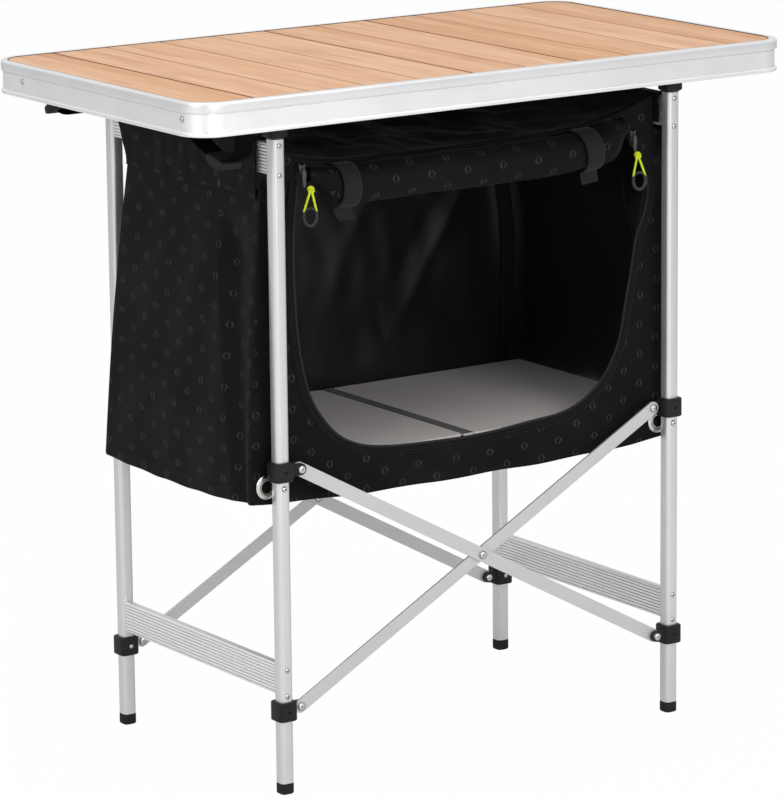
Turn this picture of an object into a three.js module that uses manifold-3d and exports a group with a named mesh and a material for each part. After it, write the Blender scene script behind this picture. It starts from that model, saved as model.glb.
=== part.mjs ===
// Folding camping cupboard: a slatted table top on a scissor frame of square tube,
// with a hanging fabric cupboard between the legs.
// Millimetres, +Z up. X runs along the long side, the open mouth faces -Y, and the
// origin is on the ground, midway between the four feet.
import * as THREE from 'three';
import { mergeVertices } from 'three/addons/utils/BufferGeometryUtils.js';
import Module from 'manifold-3d';

const wasm = await Module();
wasm.setup();

// Clearances and mesh fineness
const GAP = 0.3;
const CUT_OVERRUN = 1;
const CORNER_STEPS = 4;
const ROUND_STEPS = 16;
const PIN_STEPS = 12;

// Table top
const tableHeight = 850;
const slatCount = 11;
const slatPitch = 76.8;
const slatSeam = 1.2;
const slatLength = 456;
const slatThickness = 10;
const slatChamfer = 0.8;
const slatRecess = 0.8;
const rimTopWidth = 7.5;
const rimHeight = 40;
const rimCornerRadius = 40;
const rimLipHeight = 12.5;
const rimBeadHeight = 5.5;
const rimProud = 2;
const rimWall = 2;
const rimLedge = 15;
const rimLedgeThickness = 1.8;
const rimEdgeRound = 1.2;
const railWidth = 24;
const railWall = 2;
const strapWidth = 25;
const strapThickness = 1.2;
const strapDrop = 39;
const strapSkew = 30;

// Frame of square tube, set in from the ends and sides of the top
const legInsetX = 140.6;
const legInsetY = 54.9;
const legWidth = 17.6;
const legCorner = 5.2;
const legWall = 1.5;
const headGap = 19.3;
const footHeight = 13.5;
const footOverhang = 1;
const footChamfer = 1.5;
const plugLength = 20;
const headWidth = 24;
const headCorner = 5;
const headChamfer = 3;
const headLocatorHeight = 10;
const plankThickness = 11;
const plankWall = 1.6;
const ribCount = 10;
const ribDepth = 0.9;
const upperPlankDrop = 4.7;
const upperPlankHeight = 39;
const lowerPlankBottom = 121;
const lowerPlankHeight = 39.5;

// Scissor braces and their collars
const pivotInset = 24.5;
const lowerPivotHeight = 103.2;
const upperPivotHeight = 395.4;
const collarWidth = 26;
const collarCorner = 6.3;
const collarHeight = 23.6;
const collarChamfer = 1.2;
const collarDrop = 1;
const braceWidth = 16.4;
const braceThickness = 3;
const earRadius = 7.1;
const earThickness = 5;
const pinRadius = 3;
const pinHeadRadius = 5;
const pinHeadThickness = 1.5;

// Fabric cupboard. Its depths are set in from the legs, and its heights are measured
// down from the top edge of the upper planks or up from its own hem.
const clothThickness = 1.6;
const bagHeight = 441;
const bagHemRise = 10;
const bagFrontTopInset = 21.6;
const bagFrontBottomInset = 17.6;
const bagBackTopInset = 62.6;
const bagBackBottomInset = 14.6;
const bagFlare = 31.7;
const sleeveFrontInset = 27.6;
const sleeveDrop = 64;
const sleeveEase = 2.2;
const sleeveTuck = 34;
const sleeveStep = 2;
const sideBelly = 4;
const roofSag = 35;
const backSag = 22;
const roofLeftSharpness = 8;
const roofRightSharpness = 3.4;
const mouthInset = 33.3;
const mouthRise = 47;
const mouthStrip = 3;
const mouthCornerStrip = 10;
const hemSag = 6;
const rollRadius = 25;
const rollStep = 2.5;
const rollInset = 33;
const rollForward = 11;
const rollTie = 0.6;
const rollStrapLeftInset = 32;
const rollStrapRightInset = 65;
const rollStrapLean = 14;
const rollStrapTail = 16;
const rollStrapStart = Math.PI * 0.42;
const rollStrapSweep = Math.PI * 1.05;
const foldDepth = 3;
const foldLength = 92;
const boardRise = 51.3;
const boardThickness = 3;
const boardOverhang = 13.7;
const boardSeam = 13;
const boardFrontInset = 24.6;
const boardBackInset = 25.6;
const boardCorner = 8;

// Zip sliders, pullers and eyelets
const sliderClearance = 20;
const leftSliderDrop = 38.3;
const rightSliderDrop = 47.2;
const sliderWidth = 9;
const sliderHeight = 14;
const sliderDepth = 6;
const sliderBridge = 3;
const tabLength = 20;
const tabWidth = 6;
const tabThickness = 1.6;
const knotRadius = 3.6;
const strandRadius = 1.3;
const strandLength = 24;
const gripWidth = 19;
const gripLength = 24;
const gripRadius = 2.3;
const eyeletRadius = 15;
const eyeletBore = 7.5;
const eyeletThickness = 1.8;
const eyeletRise = 29;
const leftEyeletOutset = 8.7;
const rightEyeletInset = 5.3;

// Sizes that follow from the ones above
const topLength = slatCount * slatPitch + 2 * rimTopWidth;
const topDepth = slatLength + 2 * rimTopWidth;
const legX = topLength / 2 - legInsetX;
const legY = topDepth / 2 - legInsetY;
const rimBottom = tableHeight - rimHeight;
const legTop = rimBottom - headGap;
const slatTop = tableHeight - slatRecess;
const slatBottom = slatTop - slatThickness;
const ledgeTop = slatBottom - GAP;
const railTop = ledgeTop - rimLedgeThickness - GAP;
const headTop = rimBottom + rimProud;
const railBottom = headTop + GAP;
const upperPlankTop = legTop - upperPlankDrop;
const upperPlankBottom = upperPlankTop - upperPlankHeight;
const pivotX = legX - pivotInset;
const braceRise = upperPivotHeight - lowerPivotHeight;
const braceLength = Math.hypot(2 * pivotX, braceRise);
const braceAngle = Math.atan2(braceRise, 2 * pivotX);
const braceOffset = GAP + braceThickness / 2;
const bagHemHeight = upperPlankTop - bagHeight;
const bagBottomHalfWidth = legX + bagFlare;
const sleeveHemHeight = upperPlankTop - sleeveDrop;
const mouthHalfWidth = legX - mouthInset;
const mouthBottom = bagHemHeight + mouthRise;
const rollHalfLength = mouthHalfWidth - rollInset;
const rollStrapLeftX = rollStrapLeftInset - rollHalfLength;
const rollStrapRightX = rollHalfLength - rollStrapRightInset;
const boardTop = bagHemHeight + boardRise;
const boardBottom = boardTop - boardThickness;
const boardHalfLength = legX + boardOverhang;
const eyeletHeight = bagHemHeight + eyeletRise;

// Colours and finishes
function finish(color, roughness, metalness) {
  return new THREE.MeshStandardMaterial({ color, roughness, metalness });
}
const aluminium = finish(0xd2d2d0, 0.38, 0.9);
const aluminiumBar = finish(0xcfcfcd, 0.45, 0.85);
const bamboo = finish(0xd29a62, 0.55, 0);
const fabric = finish(0x1c1c1d, 0.9, 0);
const webbing = finish(0x2a2928, 0.85, 0);
const plastic = finish(0x1b1b1b, 0.5, 0);
const shelf = finish(0xaaa5a0, 0.6, 0);
const nickel = finish(0xb9b6b2, 0.3, 1);
const cordGreen = finish(0xdfe66a, 0.7, 0);

// Booleans
function toSolid(geometry) {
  const bare = geometry.clone();
  bare.deleteAttribute('normal');
  bare.deleteAttribute('uv');
  const merged = mergeVertices(bare, 1e-4);
  return new wasm.Manifold(new wasm.Mesh({
    numProp: 3,
    vertProperties: new Float32Array(merged.attributes.position.array),
    triVerts: new Uint32Array(merged.index.array),
  }));
}

function toGeometry(solid) {
  const mesh = solid.getMesh();
  const geometry = new THREE.BufferGeometry();
  geometry.setAttribute('position', new THREE.BufferAttribute(mesh.vertProperties, 3));
  geometry.setIndex(new THREE.BufferAttribute(mesh.triVerts, 1));
  return geometry;
}

function join(first, ...others) {
  return toGeometry(others.reduce((sum, each) => sum.add(toSolid(each)), toSolid(first)));
}

function cut(first, ...others) {
  return toGeometry(others.reduce((rest, each) => rest.subtract(toSolid(each)), toSolid(first)));
}

// Outlines and solids
function roundedRectangle(width, depth, radius, steps = CORNER_STEPS) {
  const points = [];
  const halfWidth = width / 2 - radius;
  const halfDepth = depth / 2 - radius;
  for (const [quarter, signX, signY] of [[0, 1, 1], [1, -1, 1], [2, -1, -1], [3, 1, -1]]) {
    for (let step = 0; step <= steps; step += 1) {
      const angle = (quarter + step / steps) * Math.PI / 2;
      points.push(new THREE.Vector2(
        signX * halfWidth + radius * Math.cos(angle),
        signY * halfDepth + radius * Math.sin(angle),
      ));
    }
  }
  return points;
}

function prism(outline, length, holes = []) {
  const shape = new THREE.Shape(outline);
  holes.forEach((hole) => shape.holes.push(new THREE.Path(hole)));
  return new THREE.ExtrudeGeometry(shape, { depth: length, bevelEnabled: false, steps: 1 });
}

// Extrudes an outline drawn in (X, Z) towards +Y, starting at y.
function prismAlongY(outline, y, length, holes = []) {
  const geometry = prism(outline, length, holes);
  geometry.rotateX(Math.PI / 2);
  return geometry.translate(0, y + length, 0);
}

// Skins a stack of rings, each a list of points of the same count, and closes both ends.
function skin(rings, closed = false) {
  const count = rings[0].length;
  const positions = rings.flat().flatMap((point) => [point.x, point.y, point.z]);
  const indices = [];
  const levels = closed ? rings.length : rings.length - 1;
  for (let level = 0; level < levels; level += 1) {
    const next = (level + 1) % rings.length;
    for (let side = 0; side < count; side += 1) {
      const a = level * count + side;
      const b = level * count + (side + 1) % count;
      const c = next * count + (side + 1) % count;
      const d = next * count + side;
      indices.push(a, b, c, a, c, d);
    }
  }
  if (!closed) {
    const last = (rings.length - 1) * count;
    for (const [base, reversed] of [[0, true], [last, false]]) {
      const centre = new THREE.Vector3();
      for (let side = 0; side < count; side += 1) {
        centre.add(rings[base / count][side]);
      }
      centre.divideScalar(count);
      const hub = positions.length / 3;
      positions.push(centre.x, centre.y, centre.z);
      for (let side = 0; side < count; side += 1) {
        const next = base + (side + 1) % count;
        indices.push(hub, ...(reversed ? [next, base + side] : [base + side, next]));
      }
    }
  }
  const geometry = new THREE.BufferGeometry();
  geometry.setAttribute('position', new THREE.Float32BufferAttribute(positions, 3));
  geometry.setIndex(indices);
  return geometry;
}

// A stack of rounded rectangles, from levels of { z, width, depth, corner }.
function loft(levels) {
  return skin(levels.map(({ z, width, depth, corner }) => (
    roundedRectangle(width, depth, corner).map((point) => new THREE.Vector3(point.x, point.y, z))
  )));
}

// A cloth with thickness, laid over place(u, v) with u and v from 0 to 1.
function cloth(columns, rows, place, { thickness = clothThickness, ring = false } = {}) {
  const step = 1e-3;
  const across = ring ? columns : columns + 1;
  const sides = [1, -1].map((side) => {
    const grid = [];
    for (let row = 0; row <= rows; row += 1) {
      for (let column = 0; column < across; column += 1) {
        const u = column / columns;
        const v = row / rows;
        const low = place(ring ? u : Math.max(u - step, 0), v);
        const high = place(ring ? u + step : Math.min(u + step, 1), v);
        const below = place(u, Math.max(v - step, 0));
        const above = place(u, Math.min(v + step, 1));
        const normal = high.sub(low).cross(above.sub(below)).normalize();
        grid.push(place(u, v).addScaledVector(normal, side * thickness / 2));
      }
    }
    return grid;
  });
  const positions = sides.flat().flatMap((point) => [point.x, point.y, point.z]);
  const indices = [];
  const offset = sides[0].length;
  const at = (column, row) => row * across + column % across;
  for (let row = 0; row < rows; row += 1) {
    for (let column = 0; column < columns; column += 1) {
      const a = at(column, row);
      const b = at(column + 1, row);
      const c = at(column + 1, row + 1);
      const d = at(column, row + 1);
      indices.push(a, b, c, a, c, d);
      indices.push(offset + a, offset + c, offset + b, offset + a, offset + d, offset + c);
    }
  }
  const wall = (a, b) => indices.push(a, offset + b, b, a, offset + a, offset + b);
  for (let column = 0; column < columns; column += 1) {
    wall(at(column, 0), at(column + 1, 0));
    wall(at(column + 1, rows), at(column, rows));
  }
  if (!ring) {
    for (let row = 0; row < rows; row += 1) {
      wall(at(columns, row), at(columns, row + 1));
      wall(at(0, row + 1), at(0, row));
    }
  }
  const geometry = new THREE.BufferGeometry();
  geometry.setAttribute('position', new THREE.Float32BufferAttribute(positions, 3));
  geometry.setIndex(indices);
  return geometry;
}

function mix(from, to, share) {
  return from + (to - from) * share;
}

function clampShare(value) {
  return Math.min(Math.max(value, 0), 1);
}

function easeShare(value) {
  const t = clampShare(value);
  return t * t * (3 - 2 * t);
}

// The model, one mesh for each sub-part
const cupboard = new THREE.Group();
const topGroup = new THREE.Group();
const bagGroup = new THREE.Group();
cupboard.add(topGroup, bagGroup);

function place(group, name, geometry, material, x = 0, y = 0, z = 0) {
  const mesh = new THREE.Mesh(geometry, material);
  mesh.name = name;
  mesh.position.set(x, y, z);
  group.add(mesh);
  return mesh;
}

// Table top: an aluminium rim swept round the slats
function rimProfile() {
  const lipBottom = tableHeight - rimLipHeight;
  const beadTop = rimBottom + rimBeadHeight;
  const ledgeBottom = ledgeTop - rimLedgeThickness;
  const wallInside = -rimProud - rimWall;
  return [
    [-rimTopWidth, tableHeight - rimEdgeRound / 2],
    [-rimTopWidth + rimEdgeRound / 2, tableHeight],
    [-rimEdgeRound * 1.5, tableHeight],
    [-rimEdgeRound / 2, tableHeight - rimEdgeRound / 2],
    [-rimEdgeRound / 4, tableHeight - rimEdgeRound * 1.5],
    [0, lipBottom + rimEdgeRound],
    [-rimEdgeRound / 2, lipBottom],
    [-rimProud, lipBottom - rimEdgeRound / 4],
    [-rimProud, beadTop + rimEdgeRound / 4],
    [-rimEdgeRound / 2, beadTop],
    [0, beadTop - rimEdgeRound / 2],
    [0, rimBottom + rimEdgeRound],
    [-rimEdgeRound, rimBottom],
    [wallInside, rimBottom],
    [wallInside, ledgeBottom],
    [-rimLedge, ledgeBottom],
    [-rimLedge, ledgeTop],
    [-rimTopWidth, ledgeTop],
  ];
}

function rimGeometry() {
  const steps = 2 * CORNER_STEPS;
  const centres = roundedRectangle(
    topLength - 2 * rimCornerRadius,
    topDepth - 2 * rimCornerRadius,
    0,
    steps,
  );
  const profile = rimProfile();
  const rings = centres.map((centre, index) => {
    const quarter = Math.floor(index / (steps + 1));
    const step = index % (steps + 1);
    const angle = (quarter + step / steps) * Math.PI / 2;
    return profile.map(([offset, z]) => new THREE.Vector3(
      centre.x + (rimCornerRadius + offset) * Math.cos(angle),
      centre.y + (rimCornerRadius + offset) * Math.sin(angle),
      z,
    ));
  });
  return skin(rings, true);
}

// A slat lies along Y, with softened upper edges. The outer ones follow the rim's corners.
function slatGeometry(index) {
  const halfWidth = (slatPitch - slatSeam) / 2;
  const centreX = (index - (slatCount - 1) / 2) * slatPitch;
  const outline = [
    [-halfWidth, slatBottom],
    [halfWidth, slatBottom],
    [halfWidth, slatTop - slatChamfer],
    [halfWidth - slatChamfer, slatTop],
    [-halfWidth + slatChamfer, slatTop],
    [-halfWidth, slatTop - slatChamfer],
  ].map(([x, z]) => new THREE.Vector2(centreX + x, z));
  const length = slatLength - 2 * GAP;
  const slat = prismAlongY(outline, -length / 2, length);
  if (index > 0 && index < slatCount - 1) {
    return slat;
  }
  const inside = prism(
    roundedRectangle(
      topLength - 2 * rimTopWidth - 2 * GAP,
      length,
      rimCornerRadius - rimTopWidth - GAP,
    ),
    slatThickness + 2 * CUT_OVERRUN,
  ).translate(0, 0, slatBottom - CUT_OVERRUN);
  return toGeometry(toSolid(slat).intersect(toSolid(inside)));
}

// Under each long edge a channel, open below, takes the heads of the legs.
function railGeometry() {
  const length = topLength - 2 * (rimProud + rimWall + GAP);
  const half = railWidth / 2;
  const inner = half - railWall;
  const outline = [
    [-half, railBottom],
    [-inner, railBottom],
    [-inner, railTop - railWall],
    [inner, railTop - railWall],
    [inner, railBottom],
    [half, railBottom],
    [half, railTop],
    [-half, railTop],
  ].map(([y, z]) => new THREE.Vector2(y, z));
  const rail = prism(outline, length);
  rail.rotateX(Math.PI / 2).rotateZ(Math.PI / 2);
  return rail.translate(-length / 2, 0, 0);
}

// A webbing carry strap hangs in two loops under the left end of the top. Along its route
// each pair is a share of the half depth inside the rim and a share of the drop.
const strapRouteShares = [
  [0.99, 0], [0.87, 0.2], [0.68, 0.25], [0.55, 0.58], [0.41, 0.48], [0.35, 0.28], [0.17, 0.2],
  [-0.26, 0.2], [-0.56, 0.45], [-0.65, 0.72], [-0.76, 0.96], [-0.88, 1], [-0.96, 0.7], [-0.99, 0],
];

function carryStrapGeometry() {
  const halfDepth = topDepth / 2 - rimProud - rimWall;
  const rear = -topLength / 2 + rimCornerRadius;
  const curve = new THREE.CatmullRomCurve3(strapRouteShares.map(([along, drop]) => (
    new THREE.Vector3(
      rear + strapSkew * (1 - along) / 2,
      along * halfDepth,
      rimBottom + rimBeadHeight - drop * strapDrop,
    )
  )));
  return cloth(1, 2 * strapRouteShares.length, (u, v) => {
    const point = curve.getPoint(v);
    point.x += (u - 1 / 2) * strapWidth;
    return point;
  }, { thickness: strapThickness });
}

place(topGroup, 'top_rim', rimGeometry(), aluminium);
for (let index = 0; index < slatCount; index += 1) {
  const number = String(index + 1).padStart(2, '0');
  place(topGroup, `slat_${number}`, slatGeometry(index), bamboo);
}
place(topGroup, 'rail_front', railGeometry(), aluminium, 0, -legY);
place(topGroup, 'rail_rear', railGeometry(), aluminium, 0, legY);
place(topGroup, 'carry_strap', carryStrapGeometry(), webbing);

// Frame pieces
const bore = legWidth - 2 * legWall;
const boreCorner = legCorner - legWall;
const plugWidth = bore - 2 * GAP;
const plugCorner = boreCorner - GAP;
const legBottom = footHeight + GAP;

function legGeometry() {
  return prism(
    roundedRectangle(legWidth, legWidth, legCorner),
    legTop - legBottom,
    [roundedRectangle(bore, bore, boreCorner)],
  );
}

function footGeometry() {
  const width = legWidth + 2 * footOverhang;
  const corner = legCorner + footOverhang;
  const sole = width - 2 * footChamfer;
  const soleCorner = corner - footChamfer;
  return loft([
    { z: 0, width: sole, depth: sole, corner: soleCorner },
    { z: footChamfer, width, depth: width, corner },
    { z: footHeight, width, depth: width, corner },
    { z: footHeight, width: plugWidth, depth: plugWidth, corner: plugCorner },
    { z: footHeight + plugLength, width: plugWidth, depth: plugWidth, corner: plugCorner },
  ]);
}

// The head plugs the tube, carries the rail on its shoulder and reaches into its channel.
function headGeometry() {
  const seat = legTop + GAP;
  const neck = legWidth;
  const locator = railWidth - 2 * railWall - 2 * GAP;
  return loft([
    { z: seat - plugLength, width: plugWidth, depth: plugWidth, corner: plugCorner },
    { z: seat, width: plugWidth, depth: plugWidth, corner: plugCorner },
    { z: seat, width: neck, depth: neck, corner: legCorner },
    { z: seat + headChamfer, width: headWidth, depth: headWidth, corner: headCorner },
    { z: headTop, width: headWidth, depth: headWidth, corner: headCorner },
    { z: headTop, width: locator, depth: locator, corner: headCorner },
    { z: headTop + headLocatorHeight, width: locator, depth: locator, corner: headCorner },
  ]);
}

// A ribbed hollow extrusion between the front and the rear leg.
function plankGeometry(height) {
  const pitch = height / ribCount;
  const half = plankThickness / 2;
  const right = [];
  for (let rib = 0; rib < ribCount; rib += 1) {
    const base = rib * pitch;
    right.push([half - ribDepth, base + pitch / 8]);
    right.push([half, base + pitch / 4]);
    right.push([half, base + pitch * 3 / 4]);
    right.push([half - ribDepth, base + pitch * 7 / 8]);
  }
  const left = right.map(([x, z]) => [-x, z]).reverse();
  const hollow = roundedRectangle(
    plankThickness - 2 * (ribDepth + plankWall),
    height - 2 * plankWall,
    plankWall,
    2,
  ).map((point) => new THREE.Vector2(point.x, point.y + height / 2));
  const length = 2 * (legY - legWidth / 2 - GAP);
  const outline = [...right, ...left].map(([x, z]) => new THREE.Vector2(x, z));
  return prismAlongY(outline, -length / 2, length, [hollow]);
}

// A disc across Y between two depths, used for ears, pins, rivet heads and holes.
function disc(radius, fromY, toY, steps = ROUND_STEPS) {
  const geometry = new THREE.CylinderGeometry(radius, radius, toY - fromY, steps);
  return geometry.translate(0, (fromY + toY) / 2, 0);
}

// A moulded collar round the leg. Its ear reaches towards +X and holds the brace's pin.
// earSide is -1 where the ear lies on the -Y side of the brace, and 1 on the other side.
function collarGeometry(earSide) {
  const bottom = -collarHeight / 2 - collarDrop / 2;
  const top = bottom + collarHeight;
  const narrow = collarWidth - 2 * collarChamfer;
  const narrowCorner = collarCorner - collarChamfer;
  const block = loft([
    { z: bottom, width: narrow, depth: narrow, corner: narrowCorner },
    { z: bottom + collarChamfer, width: collarWidth, depth: collarWidth, corner: collarCorner },
    { z: top - collarChamfer, width: collarWidth, depth: collarWidth, corner: collarCorner },
    { z: top, width: narrow, depth: narrow, corner: narrowCorner },
  ]);
  const through = prism(
    roundedRectangle(legWidth + 2 * GAP, legWidth + 2 * GAP, legCorner + GAP),
    collarHeight + 2 * CUT_OVERRUN,
  ).translate(0, 0, bottom - CUT_OVERRUN);
  const earNear = earSide * (braceThickness + 2 * GAP);
  const earFar = earNear + earSide * earThickness;
  const headNear = 0;
  const headFar = -earSide * pinHeadThickness;
  const sunk = earSide * pinHeadThickness / 2;
  const span = (a, b) => [Math.min(a, b), Math.max(a, b)];
  const ear = disc(earRadius, ...span(earNear, earFar)).translate(pivotInset, 0, 0);
  const armStart = legWidth / 2 + (collarWidth - legWidth) / 4;
  const arm = prismAlongY(
    [
      new THREE.Vector2(armStart, -earRadius),
      new THREE.Vector2(pivotInset, -earRadius),
      new THREE.Vector2(pivotInset, earRadius),
      new THREE.Vector2(armStart, earRadius),
    ],
    Math.min(earNear, earFar),
    earThickness,
  );
  const outside = earFar + earSide * pinHeadThickness;
  const pin = disc(pinRadius, ...span(earFar - sunk, headFar + sunk), PIN_STEPS);
  const innerHead = disc(pinHeadRadius, ...span(headNear, headFar), PIN_STEPS);
  const outerHead = disc(pinHeadRadius, ...span(earFar - sunk, outside), PIN_STEPS);
  [pin, innerHead, outerHead].forEach((piece) => piece.translate(pivotInset, 0, 0));
  return cut(join(block, ear, arm, pin, innerHead, outerHead), through);
}

// A flat brace with round ends. The one nearer +Y carries the centre rivet.
function braceGeometry(withRivet) {
  const half = braceLength / 2;
  const radius = braceWidth / 2;
  const outline = [];
  for (const [centre, start] of [[half, -Math.PI / 2], [-half, Math.PI / 2]]) {
    for (let step = 0; step <= ROUND_STEPS / 2; step += 1) {
      const angle = start + step * Math.PI / (ROUND_STEPS / 2);
      outline.push(new THREE.Vector2(
        centre + radius * Math.cos(angle),
        radius * Math.sin(angle),
      ));
    }
  }
  const bar = prismAlongY(outline, -braceThickness / 2, braceThickness);
  const reach = braceThickness / 2 + CUT_OVERRUN;
  const hole = disc(pinRadius + 2 * GAP, -reach, reach);
  const ends = [half, -half].map((x) => hole.clone().translate(x, 0, 0));
  if (!withRivet) {
    return cut(bar, ...ends, hole);
  }
  const otherFar = -braceThickness * 3 / 2 - 2 * GAP;
  const headNear = otherFar - GAP;
  const stem = disc(pinRadius, headNear - pinHeadThickness / 2, 0, PIN_STEPS);
  const head = disc(pinHeadRadius, headNear - pinHeadThickness, headNear, PIN_STEPS);
  const back = disc(pinHeadRadius, 0, braceThickness / 2 + pinHeadThickness, PIN_STEPS);
  return join(cut(bar, ...ends), stem, head, back);
}

// Upper collars slide and have their ear in front; lower ones are fixed, with it behind.
const collarLevels = [['upper', -1, upperPivotHeight], ['lower', 1, lowerPivotHeight]];

// One side frame: two legs, two planks and two fixed collars, built for the left side.
// The right side is the same frame turned half a turn.
function sideFrame(side, outerCorner, innerCorner) {
  const frame = new THREE.Group();
  for (const [end, y] of [[outerCorner, -legY], [innerCorner, legY]]) {
    place(frame, `leg_${side}_${end}`, legGeometry(), aluminium, -legX, y, legBottom);
    place(frame, `foot_${side}_${end}`, footGeometry(), plastic, -legX, y);
    place(frame, `head_${side}_${end}`, headGeometry(), plastic, -legX, y);
  }
  const planks = [
    ['upper', upperPlankHeight, upperPlankBottom],
    ['lower', lowerPlankHeight, lowerPlankBottom],
  ];
  for (const [level, height, bottom] of planks) {
    place(frame, `plank_${level}_${side}`, plankGeometry(height), aluminium, -legX, 0, bottom);
  }
  for (const [end, y] of [[outerCorner, -legY], [innerCorner, legY]]) {
    for (const [level, ear, height] of collarLevels) {
      place(frame, `collar_${level}_${side}_${end}`, collarGeometry(ear), plastic, -legX, y, height);
    }
  }
  return frame;
}

// Braces of one long side, crossed at their middle
function bracePair(end) {
  const pair = new THREE.Group();
  const middle = (upperPivotHeight + lowerPivotHeight) / 2;
  for (const [lean, way] of [['falling', -1], ['rising', 1]]) {
    const bar = braceGeometry(lean === 'rising');
    const brace = place(pair, `brace_${end}_${lean}`, bar, aluminiumBar, 0, way * braceOffset, middle);
    brace.rotation.y = -way * braceAngle;
  }
  return pair;
}

const leftFrame = sideFrame('left', 'front', 'rear');
const rightFrame = sideFrame('right', 'rear', 'front');
rightFrame.rotation.z = Math.PI;
const frontBraces = bracePair('front');
frontBraces.position.y = -legY;
const rearBraces = bracePair('rear');
rearBraces.position.y = legY;
cupboard.add(leftFrame, rightFrame, frontBraces, rearBraces);

// Where the cupboard's cloth lies
const sleeveReach = plankThickness / 2 + sleeveEase + GAP + clothThickness / 2;
const sleeveInner = legX - sleeveReach;
const sleeveOuter = legX + sleeveReach;
const seamGap = clothThickness / 2 + 2 * GAP;
const besidePlank = sleeveInner - seamGap;
const shoulderTop = upperPlankBottom - GAP - clothThickness;
const shoulderBottom = shoulderTop - sleeveTuck / 4;

function frontY(z) {
  return mix(bagFrontBottomInset, bagFrontTopInset, (z - bagHemHeight) / bagHeight) - legY;
}

function backY(z) {
  return legY - mix(bagBackBottomInset, bagBackTopInset, (z - bagHemHeight) / bagHeight);
}

const rollY = frontY(upperPlankTop) - rollForward;

// Half the bag's width at a height: it flares from the planks down to its hem.
function sideX(z) {
  const share = clampShare((sleeveHemHeight - z) / (sleeveHemHeight - bagHemHeight));
  return mix(sleeveOuter, bagBottomHalfWidth, share) + sideBelly * Math.sin(Math.PI * share);
}

// The end panels stop short of the planks, which pass through them.
function panelHalfWidth(z) {
  const share = clampShare((shoulderTop - z) / (shoulderTop - shoulderBottom));
  return mix(besidePlank, sideX(z), share);
}

// A height on an end panel, where one row of its cloth lies exactly across the shoulder.
function panelZ(share, rows, bottom, top) {
  const row = share * rows;
  const below = rows - 3;
  if (row <= below) {
    return mix(bottom, shoulderBottom, row / below);
  }
  if (row <= below + 1) {
    return mix(shoulderBottom, shoulderTop, row - below);
  }
  return mix(shoulderTop, top, (row - below - 1) / 2);
}

function hemZ(x) {
  return bagHemHeight + bagHemRise * Math.abs(x / bagBottomHalfWidth) ** 3;
}

function roofZ(x, sag) {
  const sharpness = x < 0 ? roofLeftSharpness : roofRightSharpness;
  const share = 1 - Math.abs(clampShare(Math.abs(x) / besidePlank)) ** sharpness;
  return upperPlankTop - sag * share;
}

function mouthTopZ(x) {
  return roofZ(x, roofSag) - mix(mouthStrip, mouthCornerStrip, Math.abs(x / mouthHalfWidth) ** 4);
}

function wave(along, phase = 0) {
  return foldDepth * Math.sin(2 * Math.PI * (along / foldLength + phase));
}

// Side panel with the sleeve that hangs it over the upper plank, for the left side
function sideProfile() {
  const crown = upperPlankTop + GAP + clothThickness / 2;
  const turn = clothThickness / 2;
  const lap = sleeveStep * 3;
  const path = [
    [sleeveInner, upperPlankTop - sleeveTuck],
    [sleeveInner, upperPlankTop - turn],
    [sleeveInner + turn, crown],
    [sleeveOuter - turn, crown],
    [sleeveOuter, upperPlankTop - turn],
    [sleeveOuter, upperPlankBottom],
    [sleeveOuter + sleeveStep / 2, sleeveHemHeight],
    [sleeveOuter - sleeveStep / 2, sleeveHemHeight - lap],
  ];
  const bottom = hemZ(bagBottomHalfWidth);
  const rows = 12;
  for (let row = 1; row <= rows; row += 1) {
    const z = mix(sleeveHemHeight - lap, bottom, row / rows);
    path.push([sideX(z), z]);
  }
  return path;
}

function sidePanelGeometry(mirror) {
  const path = sideProfile();
  const sleeveRows = 7;
  return cloth(10, path.length - 1, (u, v) => {
    const at = v * (path.length - 1);
    const low = Math.min(Math.floor(at), path.length - 2);
    const [fromX, fromZ] = path[low];
    const [toX, toZ] = path[low + 1];
    const z = mix(fromZ, toZ, at - low);
    const below = easeShare((at - sleeveRows + 1) / 2);
    const front = mix(sleeveFrontInset - legY, frontY(z) + seamGap, below);
    const back = mix(legY - bagBackTopInset, backY(z) - seamGap, below);
    const y = mix(front, back, u);
    const free = easeShare((at - sleeveRows) / 4) * Math.sin(Math.PI * u);
    const hang = hemSag * Math.sin(Math.PI * u) * clampShare(v * 2 - 1);
    const x = mix(fromX, toX, at - low) + free * wave(y + z / 4);
    return new THREE.Vector3(mirror * x, mirror < 0 ? y : mix(back, front, u), z - hang);
  });
}

place(bagGroup, 'side_panel_left', sidePanelGeometry(-1), fabric);
place(bagGroup, 'side_panel_right', sidePanelGeometry(1), fabric);

// The mouth, as shares of its half width and of its height above the lower edge
const mouthHeight = upperPlankTop - roofSag - mouthBottom;
const mouthOutlineShares = [
  [-0.96, 1], [-1, 0.77], [-1, 0.58], [-0.977, 0.38], [-0.93, 0.24], [-0.863, 0.153], [-0.77, 0.08],
  [-0.65, 0.035], [-0.5, 0.014], [-0.24, 0.003], [0.03, 0], [0.31, 0.014], [0.57, 0.035],
  [0.72, 0.089], [0.81, 0.156], [0.88, 0.25], [0.92, 0.37], [0.957, 0.49], [0.992, 0.61],
  [1.045, 0.7], [1.0625, 0.79], [1.02, 0.88], [0.95, 0.955], [0.92, 1],
];

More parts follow.
